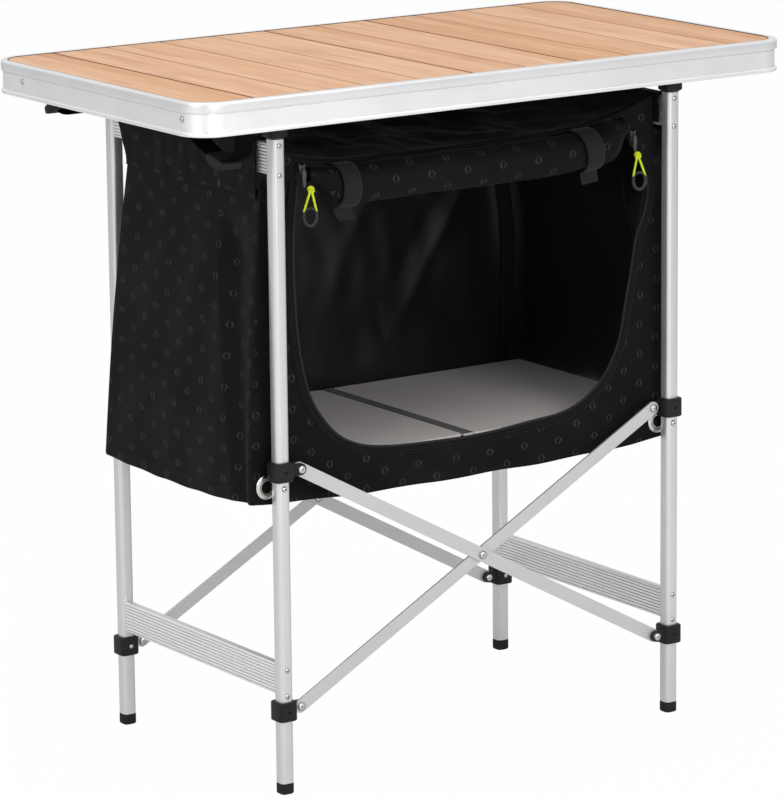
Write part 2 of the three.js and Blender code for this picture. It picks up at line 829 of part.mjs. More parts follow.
function mouthLoop(sideSteps, bottomSteps, topSteps) {
  const points = mouthOutlineShares.map(([across, up]) => new THREE.Vector3(
    across * mouthHalfWidth,
    0,
    mouthBottom + up * mouthHeight,
  ));
  points[0].z = mouthTopZ(points[0].x);
  points.at(-1).z = mouthTopZ(points.at(-1).x);
  const curve = new THREE.CatmullRomCurve3(points, false, 'centripetal');
  const loop = curve.getSpacedPoints(2 * sideSteps + bottomSteps);
  const [start, end] = [loop.at(-1).x, loop[0].x];
  for (let step = 1; step < topSteps; step += 1) {
    const x = mix(start, end, step / topSteps);
    loop.push(new THREE.Vector3(x, 0, mouthTopZ(x)));
  }
  return loop;
}

function panelLoop(sideSteps, bottomSteps, topSteps) {
  const loop = [];
  const bottomHalf = sideX(bagHemHeight + bagHemRise);
  const up = (sign, share) => {
    const z = panelZ(share, sideSteps, hemZ(bottomHalf), upperPlankTop);
    return new THREE.Vector3(sign * panelHalfWidth(z), 0, z);
  };
  for (let step = 0; step < sideSteps; step += 1) {
    loop.push(up(-1, 1 - step / sideSteps));
  }
  for (let step = 0; step < bottomSteps; step += 1) {
    const x = mix(-bottomHalf, bottomHalf, step / bottomSteps);
    loop.push(new THREE.Vector3(x, 0, hemZ(x)));
  }
  for (let step = 0; step <= sideSteps; step += 1) {
    loop.push(up(1, step / sideSteps));
  }
  for (let step = 1; step < topSteps; step += 1) {
    const x = mix(besidePlank, -besidePlank, step / topSteps);
    loop.push(new THREE.Vector3(x, 0, roofZ(x, roofSag)));
  }
  return loop;
}

// The front panel is a ring of cloth between its own edge and the mouth.
function frontPanelGeometry() {
  const steps = [13, 18, 13];
  const inner = mouthLoop(...steps);
  const outer = panelLoop(...steps);
  const count = inner.length;
  const between = (loop, share) => {
    const at = share * count;
    const low = Math.floor(at);
    return loop[low % count].clone().lerp(loop[(low + 1) % count], at - low);
  };
  return cloth(count, 4, (u, v) => {
    const share = u - Math.floor(u);
    const point = between(outer, share).lerp(between(inner, share), v);
    const clear = clampShare((pivotX - Math.abs(point.x)) / pivotInset);
    const low = clampShare((mouthBottom + pivotInset - point.z) / pivotInset);
    point.y = frontY(point.z) + clear * low * wave(point.x + point.z);
    return point;
  }, { ring: true });
}

function backPanelGeometry() {
  const rows = 9;
  return cloth(18, rows, (u, v) => {
    const top = roofZ(mix(besidePlank, -besidePlank, u), backSag);
    const x = mix(1, -1, u) * bagBottomHalfWidth;
    const z = panelZ(v, rows, hemZ(x), top);
    const y = backY(z) + Math.sin(Math.PI * u) * wave(x * 3 / 4 + z / 2);
    return new THREE.Vector3(mix(1, -1, u) * panelHalfWidth(z), y, z);
  });
}

// Roof cloth between the sleeves, sagging more at the front where the rolled door hangs
function roofGeometry() {
  const front = frontY(upperPlankTop) + seamGap;
  const back = backY(upperPlankTop) - seamGap;
  return cloth(18, 4, (u, v) => {
    const x = mix(-1, 1, u) * (besidePlank + GAP / 2);
    return new THREE.Vector3(x, mix(front, back, v), roofZ(x, mix(roofSag, backSag, v)));
  });
}

function floorGeometry() {
  const z = boardBottom - seamGap;
  const margin = seamGap + foldDepth;
  return cloth(8, 3, (u, v) => {
    const x = mix(-1, 1, u) * (sideX(z) - sideBelly - margin);
    return new THREE.Vector3(x, mix(frontY(z) + margin, backY(z) - margin, v), z);
  });
}

// The door, rolled up and tied under the front edge of the roof
function rollCentreZ(x) {
  const z = mouthTopZ(x);
  return z - GAP - Math.sqrt(rollRadius ** 2 - (frontY(z) - rollY) ** 2);
}

function rollGeometry() {
  const lengthSteps = 16;
  const around = 20;
  const rings = [];
  for (let step = 0; step <= lengthSteps; step += 1) {
    const x = mix(-rollHalfLength, rollHalfLength, step / lengthSteps);
    const pinch = Math.max(...[rollStrapLeftX, rollStrapRightX + rollStrapLean / 2].map((strap) => (
      1 - clampShare(Math.abs(x - strap) / strapWidth)
    )));
    const ring = [];
    for (let side = 0; side < around; side += 1) {
      const turn = side / around;
      const angle = turn * 2 * Math.PI;
      const radius = rollRadius - rollTie * pinch - rollStep * easeShare(1 - turn * 2);
      ring.push(new THREE.Vector3(
        x,
        rollY + radius * Math.cos(angle - Math.PI / 2),
        rollCentreZ(x) + radius * Math.sin(angle - Math.PI / 2),
      ));
    }
    rings.push(ring);
  }
  return skin(rings);
}

// A webbing tie runs over the front of the roll and ends in a short tail below it.
function rollStrapGeometry(centreX, lean) {
  const radius = rollRadius + GAP + strapThickness / 2;
  const start = rollStrapStart;
  const sweep = rollStrapSweep;
  const arc = radius * sweep;
  const whole = arc + rollStrapTail;
  return cloth(1, 14, (u, v) => {
    const travelled = v * whole;
    const angle = start + Math.min(travelled, arc) / radius;
    const tail = Math.max(travelled - arc, 0);
    const x = centreX + (u - 1 / 2) * strapWidth + lean * v;
    return new THREE.Vector3(
      x,
      rollY + radius * Math.cos(angle),
      rollCentreZ(x) + radius * Math.sin(angle) - tail,
    );
  }, { thickness: strapThickness });
}

place(bagGroup, 'front_panel', frontPanelGeometry(), fabric);
place(bagGroup, 'back_panel', backPanelGeometry(), fabric);
place(bagGroup, 'roof_cloth', roofGeometry(), fabric);
place(bagGroup, 'floor_cloth', floorGeometry(), fabric);
place(bagGroup, 'door_roll', rollGeometry(), fabric);
place(bagGroup, 'door_tie_left', rollStrapGeometry(rollStrapLeftX, 0), webbing);
place(bagGroup, 'door_tie_right', rollStrapGeometry(rollStrapRightX, rollStrapLean), webbing);

// Shelf board in two leaves
const boardDepth = 2 * legY - boardFrontInset - boardBackInset;

function boardGeometry() {
  const width = boardHalfLength - boardSeam / 2;
  return prism(roundedRectangle(width, boardDepth, boardCorner), boardThickness);
}

const boardX = (boardHalfLength + boardSeam / 2) / 2;
const boardY = (boardFrontInset - boardBackInset) / 2;
place(bagGroup, 'board_left', boardGeometry(), shelf, -boardX, boardY, boardBottom);
place(bagGroup, 'board_right', boardGeometry(), shelf, boardX, boardY, boardBottom);

// A zip slider with its bridge, on the front panel's face. Its mouth points down.
function sliderGeometry() {
  const half = sliderWidth / 2;
  const body = prismAlongY([
    [-half, sliderHeight / 2],
    [-half * 3 / 4, -sliderHeight / 4],
    [-half / 2, -sliderHeight / 2],
    [half / 2, -sliderHeight / 2],
    [half * 3 / 4, -sliderHeight / 4],
    [half, sliderHeight / 2],
    [0, sliderHeight / 3],
  ].map(([x, z]) => new THREE.Vector2(x, z)).reverse(), -sliderDepth, sliderDepth);
  const bridge = new THREE.BoxGeometry(tabThickness, sliderBridge, sliderHeight / 2);
  bridge.translate(0, -sliderDepth - sliderBridge / 2 + GAP, 0);
  return join(body, bridge);
}

// A puller: a tab, two strands of cord and a moulded loop, hanging from the bridge.
function pullerGeometry() {
  const tab = prismAlongY(
    roundedRectangle(tabWidth, tabLength, tabWidth / 3).map((point) => (
      new THREE.Vector2(point.x, point.y - tabLength / 2)
    )),
    -tabThickness / 2,
    tabThickness,
  );
  const knot = new THREE.SphereGeometry(knotRadius, 9, 7);
  knot.translate(0, 0, -tabLength - knotRadius / 2);
  const spread = gripWidth / 2 - gripRadius;
  const lean = Math.atan2(spread, strandLength);
  const strands = [1, -1].map((side) => {
    const strand = new THREE.CylinderGeometry(strandRadius, strandRadius, strandLength, 7);
    strand.translate(0, -strandLength / 2, 0).rotateX(Math.PI / 2).rotateY(-side * lean);
    return strand.translate(0, 0, -tabLength - knotRadius / 2);
  });
  const grip = new THREE.TorusGeometry(gripWidth / 2 - gripRadius, gripRadius, 6, 14);
  grip.rotateX(Math.PI / 2).scale(1, 1, gripLength / gripWidth);
  grip.translate(0, 0, -tabLength - strandLength - gripLength / 2 + gripRadius);
  return join(tab, knot, ...strands, grip);
}

function placeZip(side, x, z) {
  const face = frontY(z) - seamGap;
  place(bagGroup, `zip_slider_${side}`, sliderGeometry(), nickel, x, face, z);
  const pullerY = face - sliderDepth - sliderBridge - tabThickness / 2;
  place(bagGroup, `zip_puller_${side}`, pullerGeometry(), cordGreen, x, pullerY, z);
}

const sliderX = rollHalfLength + sliderClearance;
placeZip('left', -sliderX, upperPlankTop - leftSliderDrop);
placeZip('right', sliderX, upperPlankTop - rightSliderDrop);

// A nickel eyelet in each lower corner of the front panel
function eyeletGeometry() {
  const profile = [
    [eyeletBore, 0],
    [eyeletRadius, 0],
    [eyeletRadius, eyeletThickness / 3],
    [mix(eyeletBore, eyeletRadius, 2 / 3), eyeletThickness],
    [mix(eyeletBore, eyeletRadius, 1 / 3), eyeletThickness],
    [eyeletBore, eyeletThickness / 3],
    [eyeletBore, 0],
  ].map(([radius, height]) => new THREE.Vector2(radius, height));
  const ring = new THREE.LatheGeometry(profile, 20);
  return ring.rotateX(Math.PI);
}

for (const [side, x] of [['left', -legX - leftEyeletOutset], ['right', legX - rightEyeletInset]]) {
  const face = frontY(eyeletHeight) - seamGap;
  place(bagGroup, `eyelet_${side}`, eyeletGeometry(), nickel, x, face, eyeletHeight);
}

export default cupboard;
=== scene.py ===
"""Visual model of a folding camping cupboard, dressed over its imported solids."""

import logging
import math
from dataclasses import dataclass
from enum import Enum
from typing import Any, Callable, Mapping, Sequence

import bmesh
import bpy
import numpy as np
from mathutils import Matrix, Vector


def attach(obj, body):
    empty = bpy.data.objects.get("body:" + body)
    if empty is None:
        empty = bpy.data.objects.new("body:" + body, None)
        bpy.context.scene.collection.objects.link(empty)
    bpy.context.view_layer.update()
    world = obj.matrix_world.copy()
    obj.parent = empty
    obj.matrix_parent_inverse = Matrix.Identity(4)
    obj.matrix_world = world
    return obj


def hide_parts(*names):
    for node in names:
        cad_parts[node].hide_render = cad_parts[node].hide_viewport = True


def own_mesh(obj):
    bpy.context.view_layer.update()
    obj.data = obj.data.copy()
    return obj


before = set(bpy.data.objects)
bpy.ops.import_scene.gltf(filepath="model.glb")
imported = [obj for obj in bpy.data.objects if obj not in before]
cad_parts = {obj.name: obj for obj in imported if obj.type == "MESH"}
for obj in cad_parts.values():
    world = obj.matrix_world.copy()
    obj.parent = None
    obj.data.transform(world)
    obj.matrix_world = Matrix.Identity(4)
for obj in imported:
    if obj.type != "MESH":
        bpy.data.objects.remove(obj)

LOG = logging.getLogger("cupboard")
Array = np.ndarray
Pair = tuple[float, float]
Triple = tuple[float, float, float]
Value = Any
Material = bpy.types.Material
Mesh = bpy.types.Mesh
Node = bpy.types.Node
Object = bpy.types.Object
Socket = bpy.types.NodeSocket
Tree = bpy.types.NodeTree

IMAGE_WIDTH = 784
IMAGE_HEIGHT = 799
UV_MAP = "UVMap"
MERGE = 1e-6
FLAT_DEGREES = 0.5
TURN = 2 * math.pi


class Body(Enum):
    """The moving bodies that pieces ride on."""

    LEFT = "left_frame"
    RIGHT = "right_frame"
    TOP = "table_top"
    RISING = "rising_braces"
    FALLING = "falling_braces"
    LEFT_COLLARS = "left_upper_collars"
    RIGHT_COLLARS = "right_upper_collars"
    LEFT_LEAF = "shelf_leaf_left"
    RIGHT_LEAF = "shelf_leaf_right"
    LEFT_SLIDER = "slider_left"
    RIGHT_SLIDER = "slider_right"
    LEFT_PULLER = "puller_left"
    RIGHT_PULLER = "puller_right"


class Side(Enum):
    """Left and right of the cupboard, seen from its open front."""

    LEFT = -1
    RIGHT = 1

    @property
    def label(self) -> str:
        """The side's word in the names of pieces."""
        return self.name.lower()

    @property
    def body(self) -> Body:
        """The folding frame of this side."""
        return Body[self.name]

    def own(self, kind: str) -> Body:
        """This side's body of one kind, such as COLLARS."""
        return Body[f"{self.name}_{kind}"]


class Kind(Enum):
    """The kinds of socket that the node groups have."""

    NUMBER = "NodeSocketFloat"
    VECTOR = "NodeSocketVector"
    SHAPE = "NodeSocketGeometry"
    MATERIAL = "NodeSocketMaterial"


def mix(start: Value, end: Value, share: Value) -> Value:
    """A value between two others."""
    return start + (end - start) * share


def clamp(value: Value) -> Value:
    """A share held between 0 and 1."""
    return np.clip(value, 0.0, 1.0)


def ease(value: Value) -> Value:
    """A share that starts and ends softly."""
    share = clamp(value)
    return share * share * (3 - 2 * share)


def bell(distance: Value, width: Value) -> Value:
    """A smooth bump of height 1 over a distance."""
    return np.exp(-((distance / width) ** 2))


def over(count: int, start: float = 0.0, end: float = 1.0) -> Array:
    """Even steps across a sheet, as one row."""
    return np.linspace(start, end, count)[None, :]


def down(count: int, start: float = 0.0, end: float = 1.0) -> Array:
    """Even steps down a sheet, as one column."""
    return np.linspace(start, end, count)[:, None]


def layers(*parts: Value) -> Array:
    """Coordinates joined into a grid of points."""
    return np.stack(np.broadcast_arrays(*parts), axis=2)


def steps_of(path: Array) -> Array:
    """The distances between the points of a path."""
    return np.linalg.norm(np.diff(path, axis=0), axis=1)


def arc_of(path: Array) -> Array:
    """Even lengths from the start of a path to its end."""
    return np.linspace(0, steps_of(path).sum(), len(path))


def arch(share: Value, power: float = 1.0) -> Value:
    """An arch of height 1 over a share, fuller with a lower power."""
    return np.sin(math.pi * share) ** power


@dataclass(frozen=True)
class Layout:
    """Places and sizes that the sub-assemblies share, in metres."""

    leg_x: float = 0.2893
    leg_y: float = 0.1806
    leg_width: float = 0.0176
    plank_half: float = 0.0055
    plank_top: float = 0.786
    plank_bottom: float = 0.747
    pivot_x: float = 0.2648
    lower_pivot: float = 0.1032
    upper_pivot: float = 0.3954
    hem: float = 0.345
    hem_rise: float = 0.01
    bag_height: float = 0.441
    front_insets: Pair = (0.0176, 0.0216)
    back_insets: Pair = (0.0146, 0.052)
    right_pull: float = 0.008
    right_hollow: float = 0.0115
    hollow_z: float = 0.655
    hollow_reach: float = 0.045
    drawn_from: float = 0.2
    drawn_over: float = 0.09
    bottom_half: float = 0.321
    sleeve_inner: float = 0.2805
    sleeve_outer: float = 0.2981
    sleeve_hem: float = 0.722
    seam: float = 0.0014
    belly: float = 0.004
    roof_sag: float = 0.035
    back_sag: float = 0.022
    sharpness: Pair = (8.0, 3.4)
    shoulder: Pair = (0.7366, 0.7451)

    @property
    def beside_plank(self) -> float:
        """Half the width of the end panels between the planks."""
        return self.sleeve_inner - self.seam

    @property
    def leg_face(self) -> float:
        """How far the outer faces of the legs stand from the middle."""
        return self.leg_y + self.leg_width / 2

    def front_y(self, z: Value) -> Value:
        """The front panel's plane at a height."""
        return mix(*self.front_insets, (z - self.hem) / self.bag_height) - self.leg_y

    def back_y(self, z: Value) -> Value:
        """The back panel's plane at a height."""
        return self.leg_y - mix(*self.back_insets, (z - self.hem) / self.bag_height)

    def below_sleeve(self, z: Value) -> Value:
        """The share of the way from the sleeve's hem down to the bag's hem."""
        return clamp((self.sleeve_hem - z) / (self.sleeve_hem - self.hem))

    def side_x(self, z: Value) -> Value:
        """Half the bag's width at a height."""
        share = self.below_sleeve(z)
        return mix(self.sleeve_outer, self.bottom_half, share) + self.belly * np.sin(math.pi * share)

    def drawn_in(self, x: Value, z: Value) -> Value:
        """A place across, with the bag's right side drawn in towards its foot.

        Args:
            x: The place across.
            z: The height.

        Returns:
            The place after it is drawn in.
        """
        hollow = self.right_hollow * bell(z - self.hollow_z, self.hollow_reach)
        pull = self.right_pull * self.below_sleeve(z) + hollow
        return x - pull * clamp((x - self.drawn_from) / self.drawn_over)

    def panel_half(self, z: Value) -> Value:
        """Half the width of the end panels, which pass between the planks."""
        low, high = self.shoulder
        return mix(self.beside_plank, self.side_x(z), clamp((high - z) / (high - low)))

    def hem_z(self, x: Value) -> Value:
        """The height of the bag's lower edge."""
        return self.hem + self.hem_rise * np.abs(x / self.bottom_half) ** 3

    def roof_z(self, x: Value, sag: Value) -> Value:
        """The height of the sagging roof."""
        sharp = np.where(np.asarray(x) < 0, *self.sharpness)
        return self.plank_top - sag * (1 - clamp(np.abs(x) / self.beside_plank) ** sharp)


LAYOUT = Layout()


class Graph:
    """Adds nodes to one node tree and joins them."""

    def __init__(self, tree: Tree) -> None:
        """Starts on a tree."""
        self.tree = tree

    def fill(self, node: Node, inputs: Mapping[Any, Value]) -> None:
        """Sets a node's inputs to values, or links sockets to them.

        Args:
            node: The node.
            inputs: Values or sockets, by the name or place of the input.
        """
        for key, value in inputs.items():
            if isinstance(value, Socket):
                self.tree.links.new(value, node.inputs[key])
            else:
                node.inputs[key].default_value = value

    def add(self, kind: str, inputs: Mapping[Any, Value] | None = None, **settings: Value) -> Node:
        """Adds one node.

        Args:
            kind: The node's type name.
            inputs: Values or sockets for its inputs, by name or place.
            settings: Properties of the node.

        Returns:
            The node.
        """
        node = self.tree.nodes.new(kind)
        for key, value in settings.items():
            setattr(node, key, value)
        self.fill(node, inputs or {})
        return node

    def math(self, operation: str, *values: Value, clamped: bool = False) -> Socket:
        """One arithmetic step on numbers or sockets, held between 0 and 1 where clamped."""
        inputs = dict(enumerate(values))
        return self.add("ShaderNodeMath", inputs, operation=operation, use_clamp=clamped).outputs[0]

    def times(self, first: Value, second: Value, clamped: bool = False) -> Socket:
        """The product of two numbers."""
        return self.math("MULTIPLY", first, second, clamped=clamped)

    def times_plus(self, first: Value, second: Value, more: Value) -> Socket:
        """The product of two numbers, and a third added."""
        return self.math("MULTIPLY_ADD", first, second, more)

    def off_middle(self, value: Value) -> Socket:
        """How far a number's fraction is from a half."""
        return self.math("ABSOLUTE", self.math("SUBTRACT", self.math("FRACT", value), 0.5))

    def blend(self, factor: Value, first: Value, second: Value) -> Socket:
        """A colour between two others."""
        inputs = {0: factor, 6: first, 7: second}
        return self.add("ShaderNodeMix", inputs, data_type="RGBA").outputs[2]

    def remap(self, value: Value, source: Pair, target: Pair = (0.0, 1.0)) -> Socket:
        """A number moved from one range to another."""
        inputs = dict(enumerate((value, *source, *target)))
        return self.add("ShaderNodeMapRange", inputs).outputs[0]

    def noise(self, vector: Value, scale: Value, detail: float = 3.0, rough: float = 0.55) -> Socket:
        """A noise value over a vector."""
        inputs = {"Vector": vector, "Scale": scale, "Detail": detail, "Roughness": rough}
        return self.add("ShaderNodeTexNoise", inputs).outputs[0]

    def stretch(self, vector: Value, scale: Value) -> Socket:
        """A vector scaled along each axis."""
        return self.add("ShaderNodeMapping", {"Vector": vector, "Scale": scale}).outputs[0]

    def bump(self, height: Value, distance: float, **inputs: Value) -> Socket:
        """A normal bent by a height in metres."""
        given = {"Height": height, "Distance": distance, "Strength": 1.0, **inputs}
        return self.add("ShaderNodeBump", given).outputs[0]

    def group(self, tree: Tree, **inputs: Value) -> Any:
        """Places a shared group and gives its outputs."""
        return self.add("ShaderNodeGroup", inputs, node_tree=tree).outputs

    def place(self) -> Socket:
        """The place on the piece, in metres."""
        return self.add("ShaderNodeTexCoord").outputs["Object"]

    def sheet(self) -> Socket:
        """The place on the piece's own map, in metres."""
        return self.add("ShaderNodeUVMap", uv_map=UV_MAP).outputs[0]

    def split(self, vector: Socket) -> Any:
        """The three parts of a vector."""
        return self.add("ShaderNodeSeparateXYZ", {0: vector}).outputs


def start_group(
    name: str, tree_type: str, inputs: Mapping[str, tuple[Kind, Value]], outputs: Mapping[str, Kind]
) -> tuple[Graph, Any, Node]:
    """Starts a group of nodes with named inputs and outputs.

    Args:
        name: The group's name.
        tree_type: The type of its tree.
        inputs: Each input's kind and starting value, or None.
        outputs: Each output's kind.

    Returns:
        The graph, what its input node gives and its output node.
    """
    tree = bpy.data.node_groups.new(name, tree_type)
    for title, (kind, start) in inputs.items():
        socket = tree.interface.new_socket(title, in_out="INPUT", socket_type=kind.value)
        if start is not None:
            socket.default_value = start
    for title, kind in outputs.items():
        tree.interface.new_socket(title, in_out="OUTPUT", socket_type=kind.value)
    graph = Graph(tree)
    return graph, graph.add("NodeGroupInput").outputs, graph.add("NodeGroupOutput")


class SharedEffects:
    """Shader groups that more than one finish uses."""

    def __init__(self) -> None:
        """Builds every group once."""
        self.weave = self._weave()
        self.motif = self._motif()
        self.streaks = self._streaks()
        self.scuffs = self._scuffs()

    @staticmethod
    def _start(name: str, numbers: Mapping[str, float], outputs: Sequence[str]) -> tuple[Graph, Any, Node]:
        """Starts a shader group on a vector and numbers, which gives out numbers."""
        inputs = {"Vector": (Kind.VECTOR, None)}
        inputs.update({title: (Kind.NUMBER, start) for title, start in numbers.items()})
        return start_group(name, "ShaderNodeTree", inputs, dict.fromkeys(outputs, Kind.NUMBER))

    def _weave(self) -> Tree:
        """Crossed threads, from a vector in metres along the cloth.

        Returns:
            The node group.
        """
        graph, given, result = self._start("crossed_threads", {"Pitch": 0.001}, ("Height", "Shade"))
        parts = graph.split(given["Vector"])
        turn = graph.math("DIVIDE", math.pi, given["Pitch"])
        waves = [graph.math("SINE", graph.times(parts[axis], turn)) for axis in (0, 1)]
        height = graph.times_plus(graph.times(*waves), 0.5, 0.5)
        slub = graph.noise(graph.stretch(given["Vector"], (60.0, 900.0, 1.0)), 1.0, 2.0)
        graph.fill(result, {"Height": graph.times_plus(slub, 0.4, height), "Shade": slub})
        return graph.tree

    def _motif(self) -> Tree:
        """Small open lozenges in a half-drop repeat.

        Returns:
            The node group.
        """
        sizes = {"Across": 0.026, "Drop": 0.037, "Reach": 0.0044, "Line": 0.0010}
        graph, given, result = self._start("lozenge_print", sizes, ("Mask",))
        parts = graph.split(given["Vector"])
        column = graph.math("DIVIDE", parts[0], given["Across"])
        odd = graph.math("MODULO", graph.math("ABSOLUTE", graph.math("FLOOR", column)), 2.0)
        row = graph.times_plus(odd, 0.5, graph.math("DIVIDE", parts[1], given["Drop"]))
        across = graph.times(graph.off_middle(column), given["Across"])
        along = graph.times(graph.off_middle(row), given["Drop"])
        reach = graph.times_plus(along, 0.8, across)
        edge = graph.math("ABSOLUTE", graph.math("SUBTRACT", reach, given["Reach"]))
        ring = graph.math("SUBTRACT", 1.5, graph.math("DIVIDE", edge, given["Line"]), clamped=True)
        gap = graph.math("GREATER_THAN", across, 0.0012)
        worn = graph.remap(graph.noise(given["Vector"], 160.0, 2.0), (0.35, 0.6), (0.45, 1.0))
        graph.fill(result, {"Mask": graph.times(graph.times(ring, gap), worn)})
        return graph.tree

    def _streaks(self) -> Tree:
        """Fine lines drawn out along one direction, as brushing or grain.

        Returns:
            The node group.
        """
        inputs = {"Vector": (Kind.VECTOR, None), "Scale": (Kind.VECTOR, (1.0, 1.0, 1.0))}
        outputs = {"Fine": Kind.NUMBER, "Broad": Kind.NUMBER}
        graph, given, result = start_group("drawn_streaks", "ShaderNodeTree", inputs, outputs)
        scaled = graph.stretch(given["Vector"], given["Scale"])
        fine, broad = graph.noise(scaled, 1.0, 3.0, 0.6), graph.noise(scaled, 0.22, 2.0, 0.5)
        graph.fill(result, {"Fine": fine, "Broad": broad})
        return graph.tree

    def _scuffs(self) -> Tree:
        """Soft patches and specks of handling and dust.

        Returns:
            The node group.
        """
        graph, given, result = self._start("soft_scuffs", {"Scale": 10.0}, ("Patch", "Speck"))
        patch = graph.remap(graph.noise(given["Vector"], given["Scale"], 2.0, 0.5), (0.3, 0.7))
        graph.fill(result, {"Patch": patch, "Speck": graph.noise(given["Vector"], 900.0, 3.0, 0.6)})
        return graph.tree


EFFECTS = SharedEffects()


def start_material(name: str) -> tuple[Material, Graph, Node]:
    """Starts a material.

    Args:
        name: The material's name.

    Returns:
        The material, its graph and its surface shader.
    """
    material, graph = blank_material(name)
    surface = graph.add("ShaderNodeBsdfPrincipled")
    graph.add("ShaderNodeOutputMaterial", {"Surface": surface.outputs[0]})
    return material, graph, surface


def blank_material(name: str) -> tuple[Material, Graph]:
    """Makes a material without nodes.

    Args:
        name: The material's name.

    Returns:
        The material and its graph.
    """
    material = bpy.data.materials.new(name)
    material.use_nodes = True
    material.node_tree.nodes.clear()
    return material, Graph(material.node_tree)


def rgba(colour: Triple, scale: float = 1.0) -> tuple[float, ...]:
    """A colour with full cover, made lighter or darker."""
    return (*(part * scale for part in colour), 1.0)


@dataclass(frozen=True)
class Metal:
    """Satin or bright metal with drawn lines."""

    name: str
    colour: Triple
    roughness: float
    metallic: float
    lines: Triple
    depth: float = 6e-7
    shift: float = 0.03
    ribs: int = 0
    patches: float = 14.0

    def make(self) -> Material:
        """Builds the material.

        Returns:
            The material.
        """
        material, graph, surface = start_material(self.name)
        place = graph.place()
        drawn = graph.group(EFFECTS.streaks, Vector=place, Scale=self.lines)
        marks = graph.group(EFFECTS.scuffs, Vector=place, Scale=self.patches)
        tone = graph.times_plus(drawn["Broad"], 0.5, marks["Patch"])
        dark = rgba(self.colour, 1 - self.shift)
        colour = graph.blend(graph.remap(tone, (0.1, 1.3)), dark, rgba(self.colour))
        if self.ribs:
            # Painted shade: the grooves between the ribs are darkened to a third of the metal's colour, for the
            # shade that falls in them.
            colour = graph.blend(self.groove_mask(graph), colour, rgba(self.colour, 0.3))
        rough = graph.times_plus(drawn["Fine"], 0.08, self.roughness - 0.04)
        graph.fill(surface, {
            "Base Color": colour,
            "Roughness": graph.times_plus(marks["Patch"], 0.05, rough),
            "Metallic": self.metallic,
            "Normal": graph.bump(drawn["Fine"], self.depth),
        })
        return material

    def groove_mask(self, graph: Graph) -> Socket:
        """Painted shade in the grooves between the ribs, from the piece's own map."""
        rib = graph.times(graph.split(graph.sheet())[1], float(self.ribs))
        return graph.remap(graph.off_middle(rib), (0.33, 0.47), (0.0, 0.85))


@dataclass(frozen=True)
class Plastic:
    """Moulded plastic or rubber with a fine grain."""

    name: str
    colour: Triple
    roughness: float
    grain: float = 1.2e-5
    dust: float = 0.2
    specular: float = 0.22
    patches: float = 60.0

    def make(self) -> Material:
        """Builds the material.

        Returns:
            The material.
        """
        material, graph, surface = start_material(self.name)
        marks = graph.group(EFFECTS.scuffs, Vector=graph.place(), Scale=self.patches)
        pale = tuple(mix(part, 0.2, 0.08) for part in self.colour)
        dusty = graph.times(marks["Patch"], self.dust)
        graph.fill(surface, {
            "Base Color": graph.blend(dusty, rgba(self.colour), rgba(pale)),
            "Roughness": graph.times_plus(marks["Patch"], 0.12, self.roughness),
            "Specular IOR Level": self.specular,
            "Normal": graph.bump(marks["Speck"], self.grain),
        })
        return material


